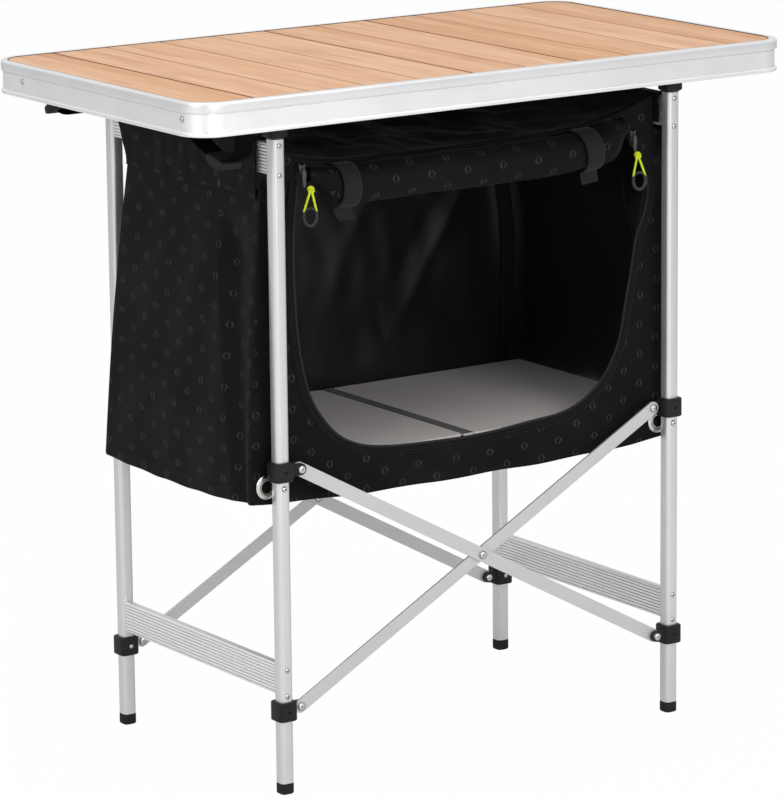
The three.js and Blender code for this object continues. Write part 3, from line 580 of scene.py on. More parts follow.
@dataclass(frozen=True)
class Bamboo:
    """Lacquered slats, each with its own tone and grain."""

    name: str
    pitch: float
    pale: Triple
    warm: Triple
    streak: Triple
    seam: Triple
    shade_below_z: float = 0.8462
    laths: float = 3.0
    first_open: float = -5.0
    seam_reach: float = 0.0021
    open_reach: float = 0.0008

    def make(self) -> Material:
        """Builds the material.

        Returns:
            The material.
        """
        material, graph, surface = start_material(self.name)
        place = graph.place()
        parts = graph.split(place)
        across = graph.times(parts[0], 1 / self.pitch)
        number = graph.math("FLOOR", graph.math("ADD", across, 0.5))
        own = self.tone_of(graph, number)
        lath = self.tone_of(graph, graph.math("FLOOR", graph.times_plus(across, self.laths, self.laths / 2)))
        shift = graph.add("ShaderNodeCombineXYZ", {0: own, 1: lath, 2: number}).outputs[0]
        moved = graph.add("ShaderNodeVectorMath", {0: place, 1: shift}, operation="ADD").outputs[0]
        grain = graph.group(EFFECTS.streaks, Vector=moved, Scale=(240.0, 7.0, 40.0))
        marks = graph.group(EFFECTS.scuffs, Vector=moved, Scale=9.0)
        fine = graph.remap(grain["Fine"], (0.36, 0.64))
        broad = graph.remap(grain["Broad"], (0.32, 0.68))
        tone = graph.times_plus(lath, 0.42, graph.times(own, 0.4))
        tone = graph.times_plus(broad, 0.4, graph.math("SUBTRACT", tone, 0.1))
        colour = graph.blend(tone, rgba(self.pale), rgba(self.warm))
        for mask, power, strength in ((fine, 1.6, 0.3), (marks["Patch"], 3.0, 0.22)):
            line = graph.times(graph.math("POWER", mask, power), strength)
            colour = graph.blend(line, colour, rgba(self.streak))
        # Partly a stain and partly painted shade: the slats' edges are darkened towards the gaps between them,
        # most at the open seams.
        colour = graph.blend(self.edge_mask(graph, across), colour, rgba(self.seam))
        # Painted shade: faces below the slat tops, the undersides, are darkened, as little light reaches them.
        underside_shade = graph.times(graph.math("LESS_THAN", parts[2], self.shade_below_z), 0.9)
        graph.fill(surface, {
            "Base Color": graph.blend(underside_shade, colour, rgba(self.seam, 0.5)),
            "Roughness": graph.times_plus(fine, 0.14, 0.46),
            "Specular IOR Level": 0.3,
            "Coat Weight": 0.05,
            "Coat Roughness": 0.4,
            "Normal": graph.bump(fine, 2.5e-5),
        })
        return material

    @staticmethod
    def tone_of(graph: Graph, number: Value) -> Socket:
        """A steady chance value for a whole number."""
        return graph.add("ShaderNodeTexWhiteNoise", {"W": number}, noise_dimensions="1D").outputs[0]

    def edge_mask(self, graph: Graph, across: Value) -> Socket:
        """Darkening at the slats' edges, deepest along the open seams: partly a stain, partly painted shade of
        the gaps between the slats.

        Args:
            graph: The material's graph.
            across: The place across the slats, in slats.

        Returns:
            The mask.
        """
        seam = graph.math("FLOOR", across)
        middle = graph.math("COMPARE", graph.math("ABSOLUTE", seam), 1.0, 0.1)
        first = graph.math("COMPARE", seam, self.first_open, 0.1)
        open_seam = graph.math("MAXIMUM", middle, first)
        away = graph.times(graph.off_middle(across), self.pitch)
        reach = graph.times_plus(open_seam, self.open_reach, self.seam_reach)
        edge = graph.math("SUBTRACT", 1.0, graph.math("DIVIDE", away, reach), clamped=True)
        return graph.times(edge, graph.times_plus(open_seam, 1.0, 1.2), clamped=True)


@dataclass(frozen=True)
class Cloth:
    """Woven cloth on the piece's own map, plain or printed."""

    name: str
    colour: Triple
    pitch: float
    roughness: float
    sheen: float
    depth: float
    print_colour: Triple | None = None
    specular: float = 0.06
    wrinkle: float = 1.6e-4
    patches: float = 9.0

    def make(self) -> Material:
        """Builds the material.

        Returns:
            The material.
        """
        material, graph, surface = start_material(self.name)
        sheet = graph.sheet()
        threads = graph.group(EFFECTS.weave, Vector=sheet, Pitch=self.pitch)
        marks = graph.group(EFFECTS.scuffs, Vector=sheet, Scale=self.patches)
        share = graph.remap(graph.times_plus(threads["Height"], 0.35, marks["Patch"]), (0.0, 1.4))
        colour = graph.blend(share, rgba(self.colour, 0.72), rgba(self.colour, 1.25))
        if self.print_colour is not None:
            ink = graph.times(graph.group(EFFECTS.motif, Vector=sheet)["Mask"], 0.8)
            colour = graph.blend(ink, colour, rgba(self.print_colour))
        soft = graph.bump(graph.noise(sheet, 42.0, 3.0, 0.5), self.wrinkle)
        graph.fill(surface, {
            "Base Color": colour,
            "Roughness": graph.times_plus(threads["Shade"], 0.16, self.roughness - 0.08),
            "Specular IOR Level": self.specular,
            "Sheen Weight": self.sheen,
            "Sheen Roughness": 0.45,
            "Normal": graph.bump(threads["Height"], self.depth, Normal=soft),
        })
        return material


@dataclass(frozen=True)
class ShelfSkin:
    """The grey facing of the shelf board."""

    name: str
    colour: Triple
    pitch: float = 0.0012
    depth: float = 3e-5

    def make(self) -> Material:
        """Builds the material.

        Returns:
            The material.
        """
        material, graph, surface = start_material(self.name)
        place = graph.place()
        threads = graph.group(EFFECTS.weave, Vector=place, Pitch=self.pitch)
        marks = graph.group(EFFECTS.scuffs, Vector=place, Scale=5.0)
        graph.fill(surface, {
            "Base Color": graph.blend(marks["Patch"], rgba(self.colour, 0.93), rgba(self.colour, 1.04)),
            "Roughness": graph.times_plus(marks["Speck"], 0.2, 0.4),
            "Normal": graph.bump(threads["Height"], self.depth),
        })
        return material


class Finishes:
    """Every material of the cupboard."""

    def __init__(self) -> None:
        """Builds the materials."""
        drawn, even = (9.0, 9.0, 90.0), (200.0, 200.0, 200.0)
        self.rim = Metal("rim_satin", (0.93, 0.93, 0.93), 0.32, 0.75, drawn, 2e-7).make()
        # The lip takes a darker copy of the rim's metal: painted shade, holding back the light that the lip
        # catches.
        self.lip = Metal("rim_lip", (0.84, 0.845, 0.855), 0.3, 0.75, drawn, 2e-7).make()
        self.tube = Metal("tube_satin", (0.72, 0.715, 0.71), 0.34, 0.75, (90.0, 90.0, 9.0), 2e-7).make()
        self.plank = Metal("plank_ribbed", (0.9, 0.895, 0.89), 0.34, 0.7, (60.0, 9.0, 60.0), ribs=10).make()
        self.bar = Metal("brace_bar", (0.63, 0.625, 0.62), 0.42, 0.6, (20.0, 30.0, 20.0), 0.0).make()
        self.nickel = Metal("nickel", (0.66, 0.65, 0.63), 0.16, 1.0, even).make()
        self.dark_metal = Metal("dark_metal", (0.09, 0.09, 0.09), 0.34, 0.8, even).make()
        self.plastic = Plastic("moulded_black", (0.010, 0.0095, 0.009), 0.4).make()
        self.rubber = Plastic("foot_rubber", (0.009, 0.009, 0.009), 0.6).make()
        # A near-black finish of painted shade: the inside of holes and hollow centres, and shadow rings round
        # heads.
        self.hole_shade = Plastic("deep_black", (0.003, 0.003, 0.003), 0.7, 0.0, 0.0, 0.05).make()
        self.grip = Plastic("grip_grey", (0.03, 0.03, 0.03), 0.45).make()
        self.teeth = Plastic("zip_teeth", (0.012, 0.012, 0.012), 0.35, 0.0, 0.0, 0.4).make()
        # A brown fill under the slat gaps, whose colour paints the shade in the gaps.
        self.seam_board = Plastic("seam_brown", (0.17, 0.042, 0.010), 0.8, 0.0, 0.0).make()
        # A dark ring inside the rim, painting the shadow in the gap between the slats and the lip.
        self.joint = Plastic("joint_brown", (0.03, 0.014, 0.008), 0.8, 0.0, 0.0).make()
        pale, warm = (0.91, 0.57, 0.355), (0.71, 0.365, 0.17)
        # seam is the dark brown of the slats' darkened edges, partly stain and partly painted shade, and at half
        # strength of the painted shade under the slats.
        streak, seam = (0.44, 0.19, 0.08), (0.24, 0.058, 0.012)
        self.bamboo = Bamboo("bamboo", 0.0768, pale, warm, streak, seam).make()
        black, ink = (0.0056, 0.0056, 0.0058), (0.05, 0.05, 0.052)
        self.print = Cloth("printed_cloth", black, 0.0009, 0.6, 0.02, 1.4e-5, ink).make()
        inner = (0.0054, 0.0053, 0.0052)
        self.lining = Cloth("plain_lining", inner, 0.0009, 0.42, 0.02, 1.2e-5, specular=0.24).make()
        # The roof's printed cloth, darker and with fainter print than the other panels: painted shade under the
        # top.
        roof, shaded_ink = (0.0045, 0.0045, 0.0046), (0.034, 0.034, 0.036)
        self.roof = Cloth("roof_lining", roof, 0.0009, 0.8, 0.03, 1.2e-5, shaded_ink, specular=0.02).make()
        self.webbing = Cloth("tie_webbing", (0.019, 0.018, 0.017), 0.0016, 0.7, 0.06, 8e-5).make()
        self.strap = Cloth("strap_webbing", (0.005, 0.005, 0.005), 0.0016, 0.8, 0.0, 8e-5, specular=0.0).make()
        self.hinge = Cloth("hinge_cloth", (0.09, 0.085, 0.083), 0.0016, 0.7, 0.1, 5e-5).make()
        self.tack = Cloth("tack_thread", (0.06, 0.058, 0.056), 0.0006, 0.7, 0.1, 3e-5).make()
        self.tape = Cloth("zip_tape", (0.0065, 0.0065, 0.0065), 0.0008, 0.7, 0.05, 3e-5).make()
        self.thread = Cloth("thread", (0.014, 0.014, 0.014), 0.0005, 0.6, 0.05, 1e-5).make()
        self.cord = Cloth("bright_cord", (0.66, 0.78, 0.03), 0.0007, 0.6, 0.1, 6e-5).make()
        self.board = ShelfSkin("board_grey", (0.70, 0.665, 0.65)).make()


def new_object(name: str, mesh: Mesh) -> Object:
    """Puts a mesh into the scene.

    Args:
        name: The object's name.
        mesh: The mesh.

    Returns:
        The object.
    """
    obj = bpy.data.objects.new(name, mesh)
    bpy.context.scene.collection.objects.link(obj)
    return obj


def plain_mesh(name: str, verts: Value, faces: Value = (), edges: Value = ()) -> Mesh:
    """Makes a mesh from its corners.

    Args:
        name: The mesh's name.
        verts: The places of its corners.
        faces: The corners of each face.
        edges: The corners of each loose edge.

    Returns:
        The mesh.
    """
    mesh = bpy.data.meshes.new(name)
    mesh.from_pydata([tuple(map(float, vert)) for vert in verts], list(edges), list(faces))
    return mesh


def mesh_of(work: bmesh.types.BMesh, mesh: Mesh) -> Mesh:
    """Puts finished work into a mesh.

    Args:
        work: The work, which is used up.
        mesh: The mesh that takes it.

    Returns:
        The mesh.
    """
    work.to_mesh(mesh)
    work.free()
    return mesh


def block(size: Triple) -> bmesh.types.BMesh:
    """Starts work on a box round the origin.

    Args:
        size: Its three sizes.

    Returns:
        The work.
    """
    work = bmesh.new()
    bmesh.ops.create_cube(work, size=1.0)
    bmesh.ops.scale(work, verts=work.verts, vec=size)
    return work


def make_outward(mesh: Mesh) -> None:
    """Turns the faces of a closed mesh outwards.

    Args:
        mesh: The mesh.
    """
    work = bmesh.new()
    work.from_mesh(mesh)
    bmesh.ops.recalc_face_normals(work, faces=work.faces)
    mesh_of(work, mesh)


def smooth(mesh: Mesh, degrees: float | None = None) -> None:
    """Shades a mesh softly.

    Args:
        mesh: The mesh.
        degrees: Edges sharper than this stay edges.
    """
    mesh.polygons.foreach_set("use_smooth", [True] * len(mesh.polygons))
    if degrees is not None:
        mesh.set_sharp_from_angle(angle=math.radians(degrees))


def soften(obj: Object, width: float, segments: int = 2, degrees: float | None = None) -> None:
    """Rounds an object's edges.

    Args:
        obj: The object.
        width: How wide the rounding is.
        segments: How many steps it has.
        degrees: Only edges sharper than this are rounded, with the faces beside them kept flat.
    """
    soft = obj.modifiers.new("soft_edges", "BEVEL")
    soft.width, soft.segments, soft.limit_method = width, segments, "ANGLE"
    if degrees is not None:
        soft.angle_limit = math.radians(degrees)
        soft.harden_normals = True


def set_materials(obj: Object, *materials: Material) -> None:
    """Gives an object these materials in order.

    Args:
        obj: The object.
        materials: The materials.
    """
    obj.data.materials.clear()
    for material in materials:
        obj.data.materials.append(material)


def paint_faces(obj: Object, index: int, test: Callable[[Vector], bool]) -> None:
    """Gives a material to the faces whose corners all pass a test.

    Args:
        obj: The object.
        index: The material's place in the object's list.
        test: The test of a corner's place.
    """
    mesh = obj.data
    for polygon in mesh.polygons:
        if all(test(mesh.vertices[vertex].co) for vertex in polygon.vertices):
            polygon.material_index = index


def settle(obj: Object, body: Body, slot: str, replaces: Sequence[str] = (), gathers: bool = False) -> None:
    """Makes a finished piece ride on its body.

    Args:
        obj: The piece.
        body: The body that carries it.
        slot: The record's material slot; not used.
        replaces: The CAD nodes that it stands for.
        gathers: Whether it gets its own copy of its mesh.
    """
    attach(obj, body.value)
    if replaces:
        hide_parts(*replaces)
    LOG.info("%s rides on %s", obj.name, body.value)
    if gathers:
        gather(obj)


def gather(obj: Object, anchor: float = -0.3, keep: float = 0.3335) -> None:
    """Gives a soft piece its own copy of its mesh."""
    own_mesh(obj)


def grid_faces(rows: int, columns: int, ring: bool = False, closed: bool = False) -> list[list[int]]:
    """The faces of a grid of points.

    Args:
        rows: How many rows it has.
        columns: How many columns it has.
        ring: Whether the last column joins the first.
        closed: Whether the last row joins the first.

    Returns:
        The corners of each face.
    """
    faces = []
    for row in range(rows if closed else rows - 1):
        here, below = row * columns, (row + 1) % rows * columns
        for column in range(columns if ring else columns - 1):
            after = (column + 1) % columns
            faces.append([here + column, here + after, below + after, below + column])
    return faces


def skin_faces(rings: int, sides: int, closed: bool = False) -> list[list[int]]:
    """The faces of a skin over rings of points, with its ends covered.

    Args:
        rings: How many rings it has.
        sides: How many points each ring has.
        closed: Whether the last ring joins the first, so that it has no ends.

    Returns:
        The corners of each face.
    """
    faces = [[a, d, c, b] for a, b, c, d in grid_faces(rings, sides, True, closed)]
    if not closed:
        faces += [list(range(sides)), list(reversed(range((rings - 1) * sides, rings * sides)))]
    return faces


def patch_object(
    name: str, points: Array, uv: Array, materials: Sequence[Material], ring: bool = False, flip: bool = False,
) -> Object:
    """Makes a smooth sheet from a grid of points.

    Args:
        name: The object's name.
        points: Rows by columns by 3, in metres.
        uv: Rows by columns by 2, in metres along the cloth.
        materials: The outer material, and the inner one for the back.
        ring: Whether the last column joins the first.
        flip: Whether the faces are turned round.

    Returns:
        The object.
    """
    faces = grid_faces(*points.shape[:2], ring)
    if flip:
        faces = [face[::-1] for face in faces]
    mesh = plain_mesh(name, points.reshape(-1, 3), faces)
    flat = uv.reshape(-1, 2)
    corners = [flat[index] for face in faces for index in face]
    layer = mesh.uv_layers.new(name=UV_MAP)
    layer.data.foreach_set("uv", np.asarray(corners, np.float32).ravel())
    smooth(mesh)
    obj = new_object(name, mesh)
    set_materials(obj, *materials)
    return obj


def thicken(obj: Object, thickness: float) -> None:
    """Gives a sheet its thickness, with the second material inside.

    Args:
        obj: The sheet.
        thickness: Its thickness.
    """
    solid = obj.modifiers.new("thickness", "SOLIDIFY")
    solid.thickness = thickness
    solid.offset = 0.0
    solid.use_even_offset = False
    if len(obj.data.materials) > 1:
        solid.material_offset = 1


def declare_sheet(rests_on: Sequence[str]) -> None:
    """Reads the names of the pieces that hold a sheet, and does nothing with them."""
    list(rests_on)


def resample(path: Array, count: int) -> Array:
    """Points at even distances along a path.

    Args:
        path: The points of the path.
        count: How many points to return.

    Returns:
        The points.
    """
    along = np.concatenate([[0.0], np.cumsum(steps_of(path))])
    wanted = np.linspace(0.0, along[-1], count)
    return np.stack([np.interp(wanted, along, part) for part in path.T], axis=1)


def spline(points: Array, count: int, fineness: int = 24) -> Array:
    """Even points on a smooth curve through the given ones.

    Args:
        points: The points to pass through.
        count: How many points to return.
        fineness: How many steps each stretch is worked out in.

    Returns:
        The points of the curve.
    """

    def between(first: Array, second: Array, start: float, end: float) -> Array:
        """The straight way from one value to the next over a span of the curve."""
        return ((end - at) * first + (at - start) * second) / (end - start)

    padded = np.vstack([2 * points[0] - points[1], points, 2 * points[-1] - points[-2]])
    dense = []
    for group in zip(padded, padded[1:], padded[2:], padded[3:]):
        gaps = [np.linalg.norm(b - a) ** 0.5 for a, b in zip(group, group[1:])]
        knots = np.concatenate([[0.0], np.cumsum(gaps)])
        at = np.linspace(knots[1], knots[2], fineness, endpoint=False)[:, None]
        level = [point[None, :] for point in group]
        for reach in (1, 2):
            pairs = zip(level, level[1:], knots, knots[reach:])
            level = [between(*pair) for pair in pairs]
        dense.append(between(*level, knots[1], knots[2]))
    return resample(np.vstack([*dense, points[-1:]]), count)


@dataclass(frozen=True)
class Crumple:
    """Soft folds of cloth, as a seeded sum of leaning waves."""

    seed: int
    length: float
    depth: float
    lean: float = 0.6
    spread: float = 1.6
    octaves: int = 4
    waves: int = 3

    def height(self, across: Array, up: Array) -> Array:
        """How far the cloth stands out at places along it.

        Args:
            across: The places across it.
            up: The places up it.

        Returns:
            The heights.
        """
        draw = np.random.default_rng(self.seed)
        total = np.zeros(np.broadcast(across, up).shape)
        for octave in range(self.octaves):
            for _ in range(self.waves):
                angle = self.lean + (draw.random() - 0.5) * self.spread
                wave = TURN / (self.length * 0.58**octave * (0.75 + 0.5 * draw.random()))
                along = across * math.cos(angle) + up * math.sin(angle)
                side = up * math.cos(angle) - across * math.sin(angle)
                bend = 1.4 * np.sin(wave * 0.31 * side + draw.random() * 6.28)
                phase = wave * along + bend + draw.random() * 6.28
                total += self.depth * 0.5**octave * np.sin(phase) / 2.2
        return total


@dataclass(frozen=True)
class Crease:
    """A single soft ridge between two places of a sheet, or a furrow where its depth is negative."""

    depth: float
    start: Pair
    end: Pair
    width: float

    def height(self, across: Array, up: Array) -> Array:
        """How far the cloth stands out at places along it.

        Args:
            across: The places across it.
            up: The places up it.

        Returns:
            The heights.
        """
        start, run = np.array(self.start), np.array(self.end) - np.array(self.start)
        length = np.linalg.norm(run)
        run = run / length
        along = ((across - start[0]) * run[0] + (up - start[1]) * run[1]) / length
        off = (across - start[0]) * -run[1] + (up - start[1]) * run[0]
        taper = np.sin(math.pi * clamp(along)) ** 0.6
        return self.depth * (taper / (1 + (off / (self.width * (0.5 + clamp(along)))) ** 2))


def tube_along(name: str, path: Array, radius: float | Array, sides: int = 10, closed: bool = False) -> Object:
    """A round tube along a path, closed at its ends.

    Args:
        name: The object's name.
        path: The points of its centreline.
        radius: Its radius, or one for each point.
        sides: How many sides it has.
        closed: Whether the path joins up.

    Returns:
        The object.
    """
    radii = np.broadcast_to(radius, (len(path),))
    if closed:
        tangents = np.roll(path, -1, axis=0) - np.roll(path, 1, axis=0)
    else:
        tangents = np.gradient(path, axis=0)
    tangents /= np.linalg.norm(tangents, axis=1)[:, None]
    guide = np.array([0.0, 1.0, 0.0]) if abs(tangents[0][1]) < 0.9 else np.array([1.0, 0.0, 0.0])
    verts, lengths = [], np.concatenate([[0.0], np.cumsum(steps_of(path))])
    for point, tangent, size in zip(path, tangents, radii):
        side = np.cross(tangent, guide)
        side /= np.linalg.norm(side)
        guide = np.cross(side, tangent)
        for step in range(sides):
            angle = TURN * step / sides
            verts.append(point + size * (math.cos(angle) * side + math.sin(angle) * guide))
    mesh = plain_mesh(name, verts, skin_faces(len(path), sides, closed))
    layer = mesh.uv_layers.new(name=UV_MAP)
    for loop in mesh.loops:
        place, step = divmod(loop.vertex_index, sides)
        layer.data[loop.index].uv = (TURN * step / sides * float(radii[place]), lengths[place])
    smooth(mesh)
    make_outward(mesh)
    return new_object(name, mesh)


def join_objects(name: str, objects: Sequence[Object]) -> Object:
    """Joins finished objects into one, with their materials kept.

    Args:
        name: The new object's name.
        objects: The objects, which are used up.

    Returns:
        The object.
    """
    graph = bpy.context.evaluated_depsgraph_get()
    work = bmesh.new()
    work.loops.layers.uv.new(UV_MAP)
    materials: list[Material] = []
    for obj in objects:
        mesh = mapped_copy(obj, graph)
        for material in mesh.materials:
            if material not in materials:
                materials.append(material)
        lookup = [materials.index(material) for material in mesh.materials]
        if lookup:
            for polygon in mesh.polygons:
                polygon.material_index = lookup[polygon.material_index]
        work.from_mesh(mesh)
        bpy.data.meshes.remove(mesh)
    mesh = mesh_of(work, bpy.data.meshes.new(name))
    for obj in objects:
        bpy.data.objects.remove(obj)
    for material in materials:
        mesh.materials.append(material)
    return new_object(name, mesh)


def mapped_copy(obj: Object, graph: bpy.types.Depsgraph) -> Mesh:
    """Copies an object's finished mesh, with a map on it.

    Args:
        obj: The object.
        graph: The scene's dependency graph.

    Returns:
        The mesh.
    """
    mesh = bpy.data.meshes.new_from_object(obj.evaluated_get(graph))
    if not mesh.uv_layers:
        mesh.uv_layers.new(name=UV_MAP)
    return mesh


def dressed_copy(name: str, node: str, bevel: float, degrees: float = 30.0) -> Object:
    """Copies a CAD node as a merged, softly shaded mesh.

    Args:
        name: The new object's name.
        node: The CAD node.
        bevel: The width of its softened edges, or 0.
        degrees: Edges sharper than this stay edges.

    Returns:
        The object.
    """
    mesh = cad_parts[node].data.copy()
    mesh.name = name
    mesh.materials.clear()
    work = bmesh.new()
    work.from_mesh(mesh)
    bmesh.ops.remove_doubles(work, verts=work.verts, dist=MERGE)
    limit = math.radians(FLAT_DEGREES)
    bmesh.ops.dissolve_limit(work, angle_limit=limit, verts=work.verts, edges=work.edges)
    mesh_of(work, mesh)
    for layer in list(mesh.uv_layers):
        mesh.uv_layers.remove(layer)
    smooth(mesh, degrees)
    obj = new_object(name, mesh)
    if bevel > 0:
        soften(obj, bevel, degrees=degrees)
    return obj


def points_mesh(
    name: str, points: Sequence[Triple], facings: Sequence[Triple] | None = None, chain: bool = False
) -> Object:
    """Makes a mesh of loose points, or of a chain of edges.

    Args:
        name: The object's name.
        points: The places.
        facings: The way each one faces, if any.
        chain: Whether edges join them in order.

    Returns:
        The object.
    """
    edges = [(step, step + 1) for step in range(len(points) - 1)] if chain else []
    mesh = plain_mesh(name, points, edges=edges)
    if facings is not None:
        layer = mesh.attributes.new("facing", "FLOAT_VECTOR", "POINT")
        layer.data.foreach_set("vector", np.asarray(facings, np.float32).ravel())
    return new_object(name, mesh)


@dataclass(frozen=True)
class Head:
    """The head of a rivet, screw, pin or tack, with the names of its two finishes."""

    radius: float
    height: float
    centre_size: float
    metal: str = "nickel"
    centre: str = "hole_shade"


class Repeats:
    """Geometry node trees for what repeats over the cupboard."""

    def __init__(self, finishes: Finishes) -> None:
        """Builds each tree once.

        Args:
            finishes: The finishes that the heads take.
        """
        self.finishes = finishes
        self.studs = self._studs()
        self.dashes = self._dashes()
        self.strips = self._strips()

    @staticmethod
    def _start(name: str, inputs: Mapping[str, tuple[Kind, Value]]) -> tuple[Graph, Any, Node]:
        """Starts a geometry tree with named inputs."""
        whole = {"Geometry": (Kind.SHAPE, None), **inputs}
        return start_group(name, "GeometryNodeTree", whole, {"Geometry": Kind.SHAPE})

    @staticmethod
    def _end(graph: Graph, result: Node, material: Value, **spread: Value) -> Tree:
        """Spreads a shape over points and makes it real, with its material.

        Args:
            graph: The tree's graph.
            result: The tree's output node.
            material: The shape's material.
            spread: The inputs of Instance on Points.

        Returns:
            The tree.
        """
        instances = graph.add("GeometryNodeInstanceOnPoints", spread)
        real = graph.add("GeometryNodeRealizeInstances", {0: instances.outputs[0]}).outputs[0]
        if material is not None:
            real = graph.add("GeometryNodeSetMaterial", {0: real, "Material": material}).outputs[0]
        graph.fill(result, {0: real})
        return graph.tree

    def _studs(self) -> Tree:
        """Domed rivet heads on points, turned the way each point faces.

        Returns:
            The node group.
        """
        graph, given, result = self._start("studs", {
            "Radius": (Kind.NUMBER, 0.003),
            "Height": (Kind.NUMBER, 0.0012),
            "Metal": (Kind.MATERIAL, None),
            "Centre": (Kind.MATERIAL, None),
            "Centre size": (Kind.NUMBER, 0.35),
        })
        facing = graph.add("GeometryNodeInputNamedAttribute", {"Name": "facing"}, data_type="FLOAT_VECTOR")
        turn = graph.add("FunctionNodeAlignRotationToVector", {"Vector": facing.outputs[0]}, axis="Z")
        dome = graph.add("GeometryNodeMeshUVSphere", {"Segments": 20, "Rings": 10, "Radius": 1.0}).outputs[0]
        disc = graph.add("GeometryNodeMeshCylinder", {"Vertices": 20, "Radius": 1.0, "Depth": 2.0}).outputs[0]
        both = graph.add("GeometryNodeJoinGeometry")
        # The thin disc just wider than the dome and the small disc at its middle take the centre finish; where
        # that finish is dark they are painted shade: a shadow ring round the head and the inside of a hollow
        # centre.
        parts = (
            (dome, 1.0, 1.0, given["Metal"], True),
            (disc, 1.1, 0.12, given["Centre"], False),
            (disc, given["Centre size"], 1.03, given["Centre"], False),
        )
        for shape, wide, tall, material, rounded in parts:
            radius = graph.times(given["Radius"], wide)
            height = graph.times(given["Height"], tall)
            size = graph.add("ShaderNodeCombineXYZ", {0: radius, 1: radius, 2: height}).outputs[0]
            part = graph.add("GeometryNodeTransform", {"Geometry": shape, "Scale": size}).outputs[0]
            painted = graph.add("GeometryNodeSetMaterial", {0: part, "Material": material}).outputs[0]
            shaded = graph.add("GeometryNodeSetShadeSmooth", {0: painted, "Shade Smooth": rounded}).outputs[0]
            graph.fill(both, {0: shaded})
        return self._end(graph, result, None, Points=given[0], Instance=both.outputs[0], Rotation=turn.outputs[0])

    def _dashes(self) -> Tree:
        """Small blocks at even steps along a path, as zip teeth or stitches.

        Returns:
            The node group.
        """
        graph, given, result = self._start("dashes", {
            "Pitch": (Kind.NUMBER, 0.003),
            "Size": (Kind.VECTOR, (0.001, 0.001, 0.002)),
            "Facing": (Kind.VECTOR, (0.0, 1.0, 0.0)),
            "Material": (Kind.MATERIAL, None),
        })
        curve = graph.add("GeometryNodeMeshToCurve", {0: given[0]}).outputs[0]
        facing = {0: curve, "Normal": given["Facing"]}
        normal = graph.add("GeometryNodeSetCurveNormal", facing, mode="FREE").outputs[0]
        steps = {0: normal, "Length": given["Pitch"]}
        spots = graph.add("GeometryNodeCurveToPoints", steps, mode="LENGTH").outputs
        dash = graph.add("GeometryNodeMeshCube", {"Size": given["Size"]}).outputs["Mesh"]
        spread = {"Points": spots["Points"], "Instance": dash, "Rotation": spots["Rotation"]}
        return self._end(graph, result, given["Material"], **spread)

    def _strips(self) -> Tree:
        """One box on every point of the mesh.

        Returns:
            The node group.
        """
        inputs = {"Size": (Kind.VECTOR, (0.001, 0.1, 0.01)), "Material": (Kind.MATERIAL, None)}
        graph, given, result = self._start("strips", inputs)
        box = graph.add("GeometryNodeMeshCube", {"Size": given["Size"]}).outputs["Mesh"]
        return self._end(graph, result, given["Material"], Points=given[0], Instance=box)

    @staticmethod
    def grow(base: Object, tree: Tree, **inputs: Value) -> Object:
        """Runs a tree on an object and keeps the result as a plain mesh.

        Args:
            base: The object with the points or path, which is used up.
            tree: The geometry tree.
            inputs: Its inputs by name, with _ for a space.

        Returns:
            The finished object, under the base's name.
        """
        modifier = base.modifiers.new("repeat", "NODES")
        modifier.node_group = tree
        items = [item for item in tree.interface.items_tree if item.item_type == "SOCKET"]
        names = {item.name: item.identifier for item in items if item.in_out == "INPUT"}
        for key, value in inputs.items():
            modifier[names[key.replace("_", " ")]] = value
        bpy.context.view_layer.update()
        mesh = mapped_copy(base, bpy.context.evaluated_depsgraph_get())
        name = base.name
        bpy.data.objects.remove(base)
        mesh.name = name
        return new_object(name, mesh)

    def heads(self, name: str, places: Sequence[Triple], facings: Sequence[Triple], head: Head) -> Object:
        """Puts heads at places.

        Args:
            name: The piece's name.
            places: Where they sit.
            facings: The way each one faces.
            head: Their size and finishes.

        Returns:
            The finished object.
        """
        base = points_mesh(name, places, facings)
        return self.grow(
            base, self.studs, Radius=head.radius, Height=head.height, Centre_size=head.centre_size,
            Metal=getattr(self.finishes, head.metal), Centre=getattr(self.finishes, head.centre),
        )


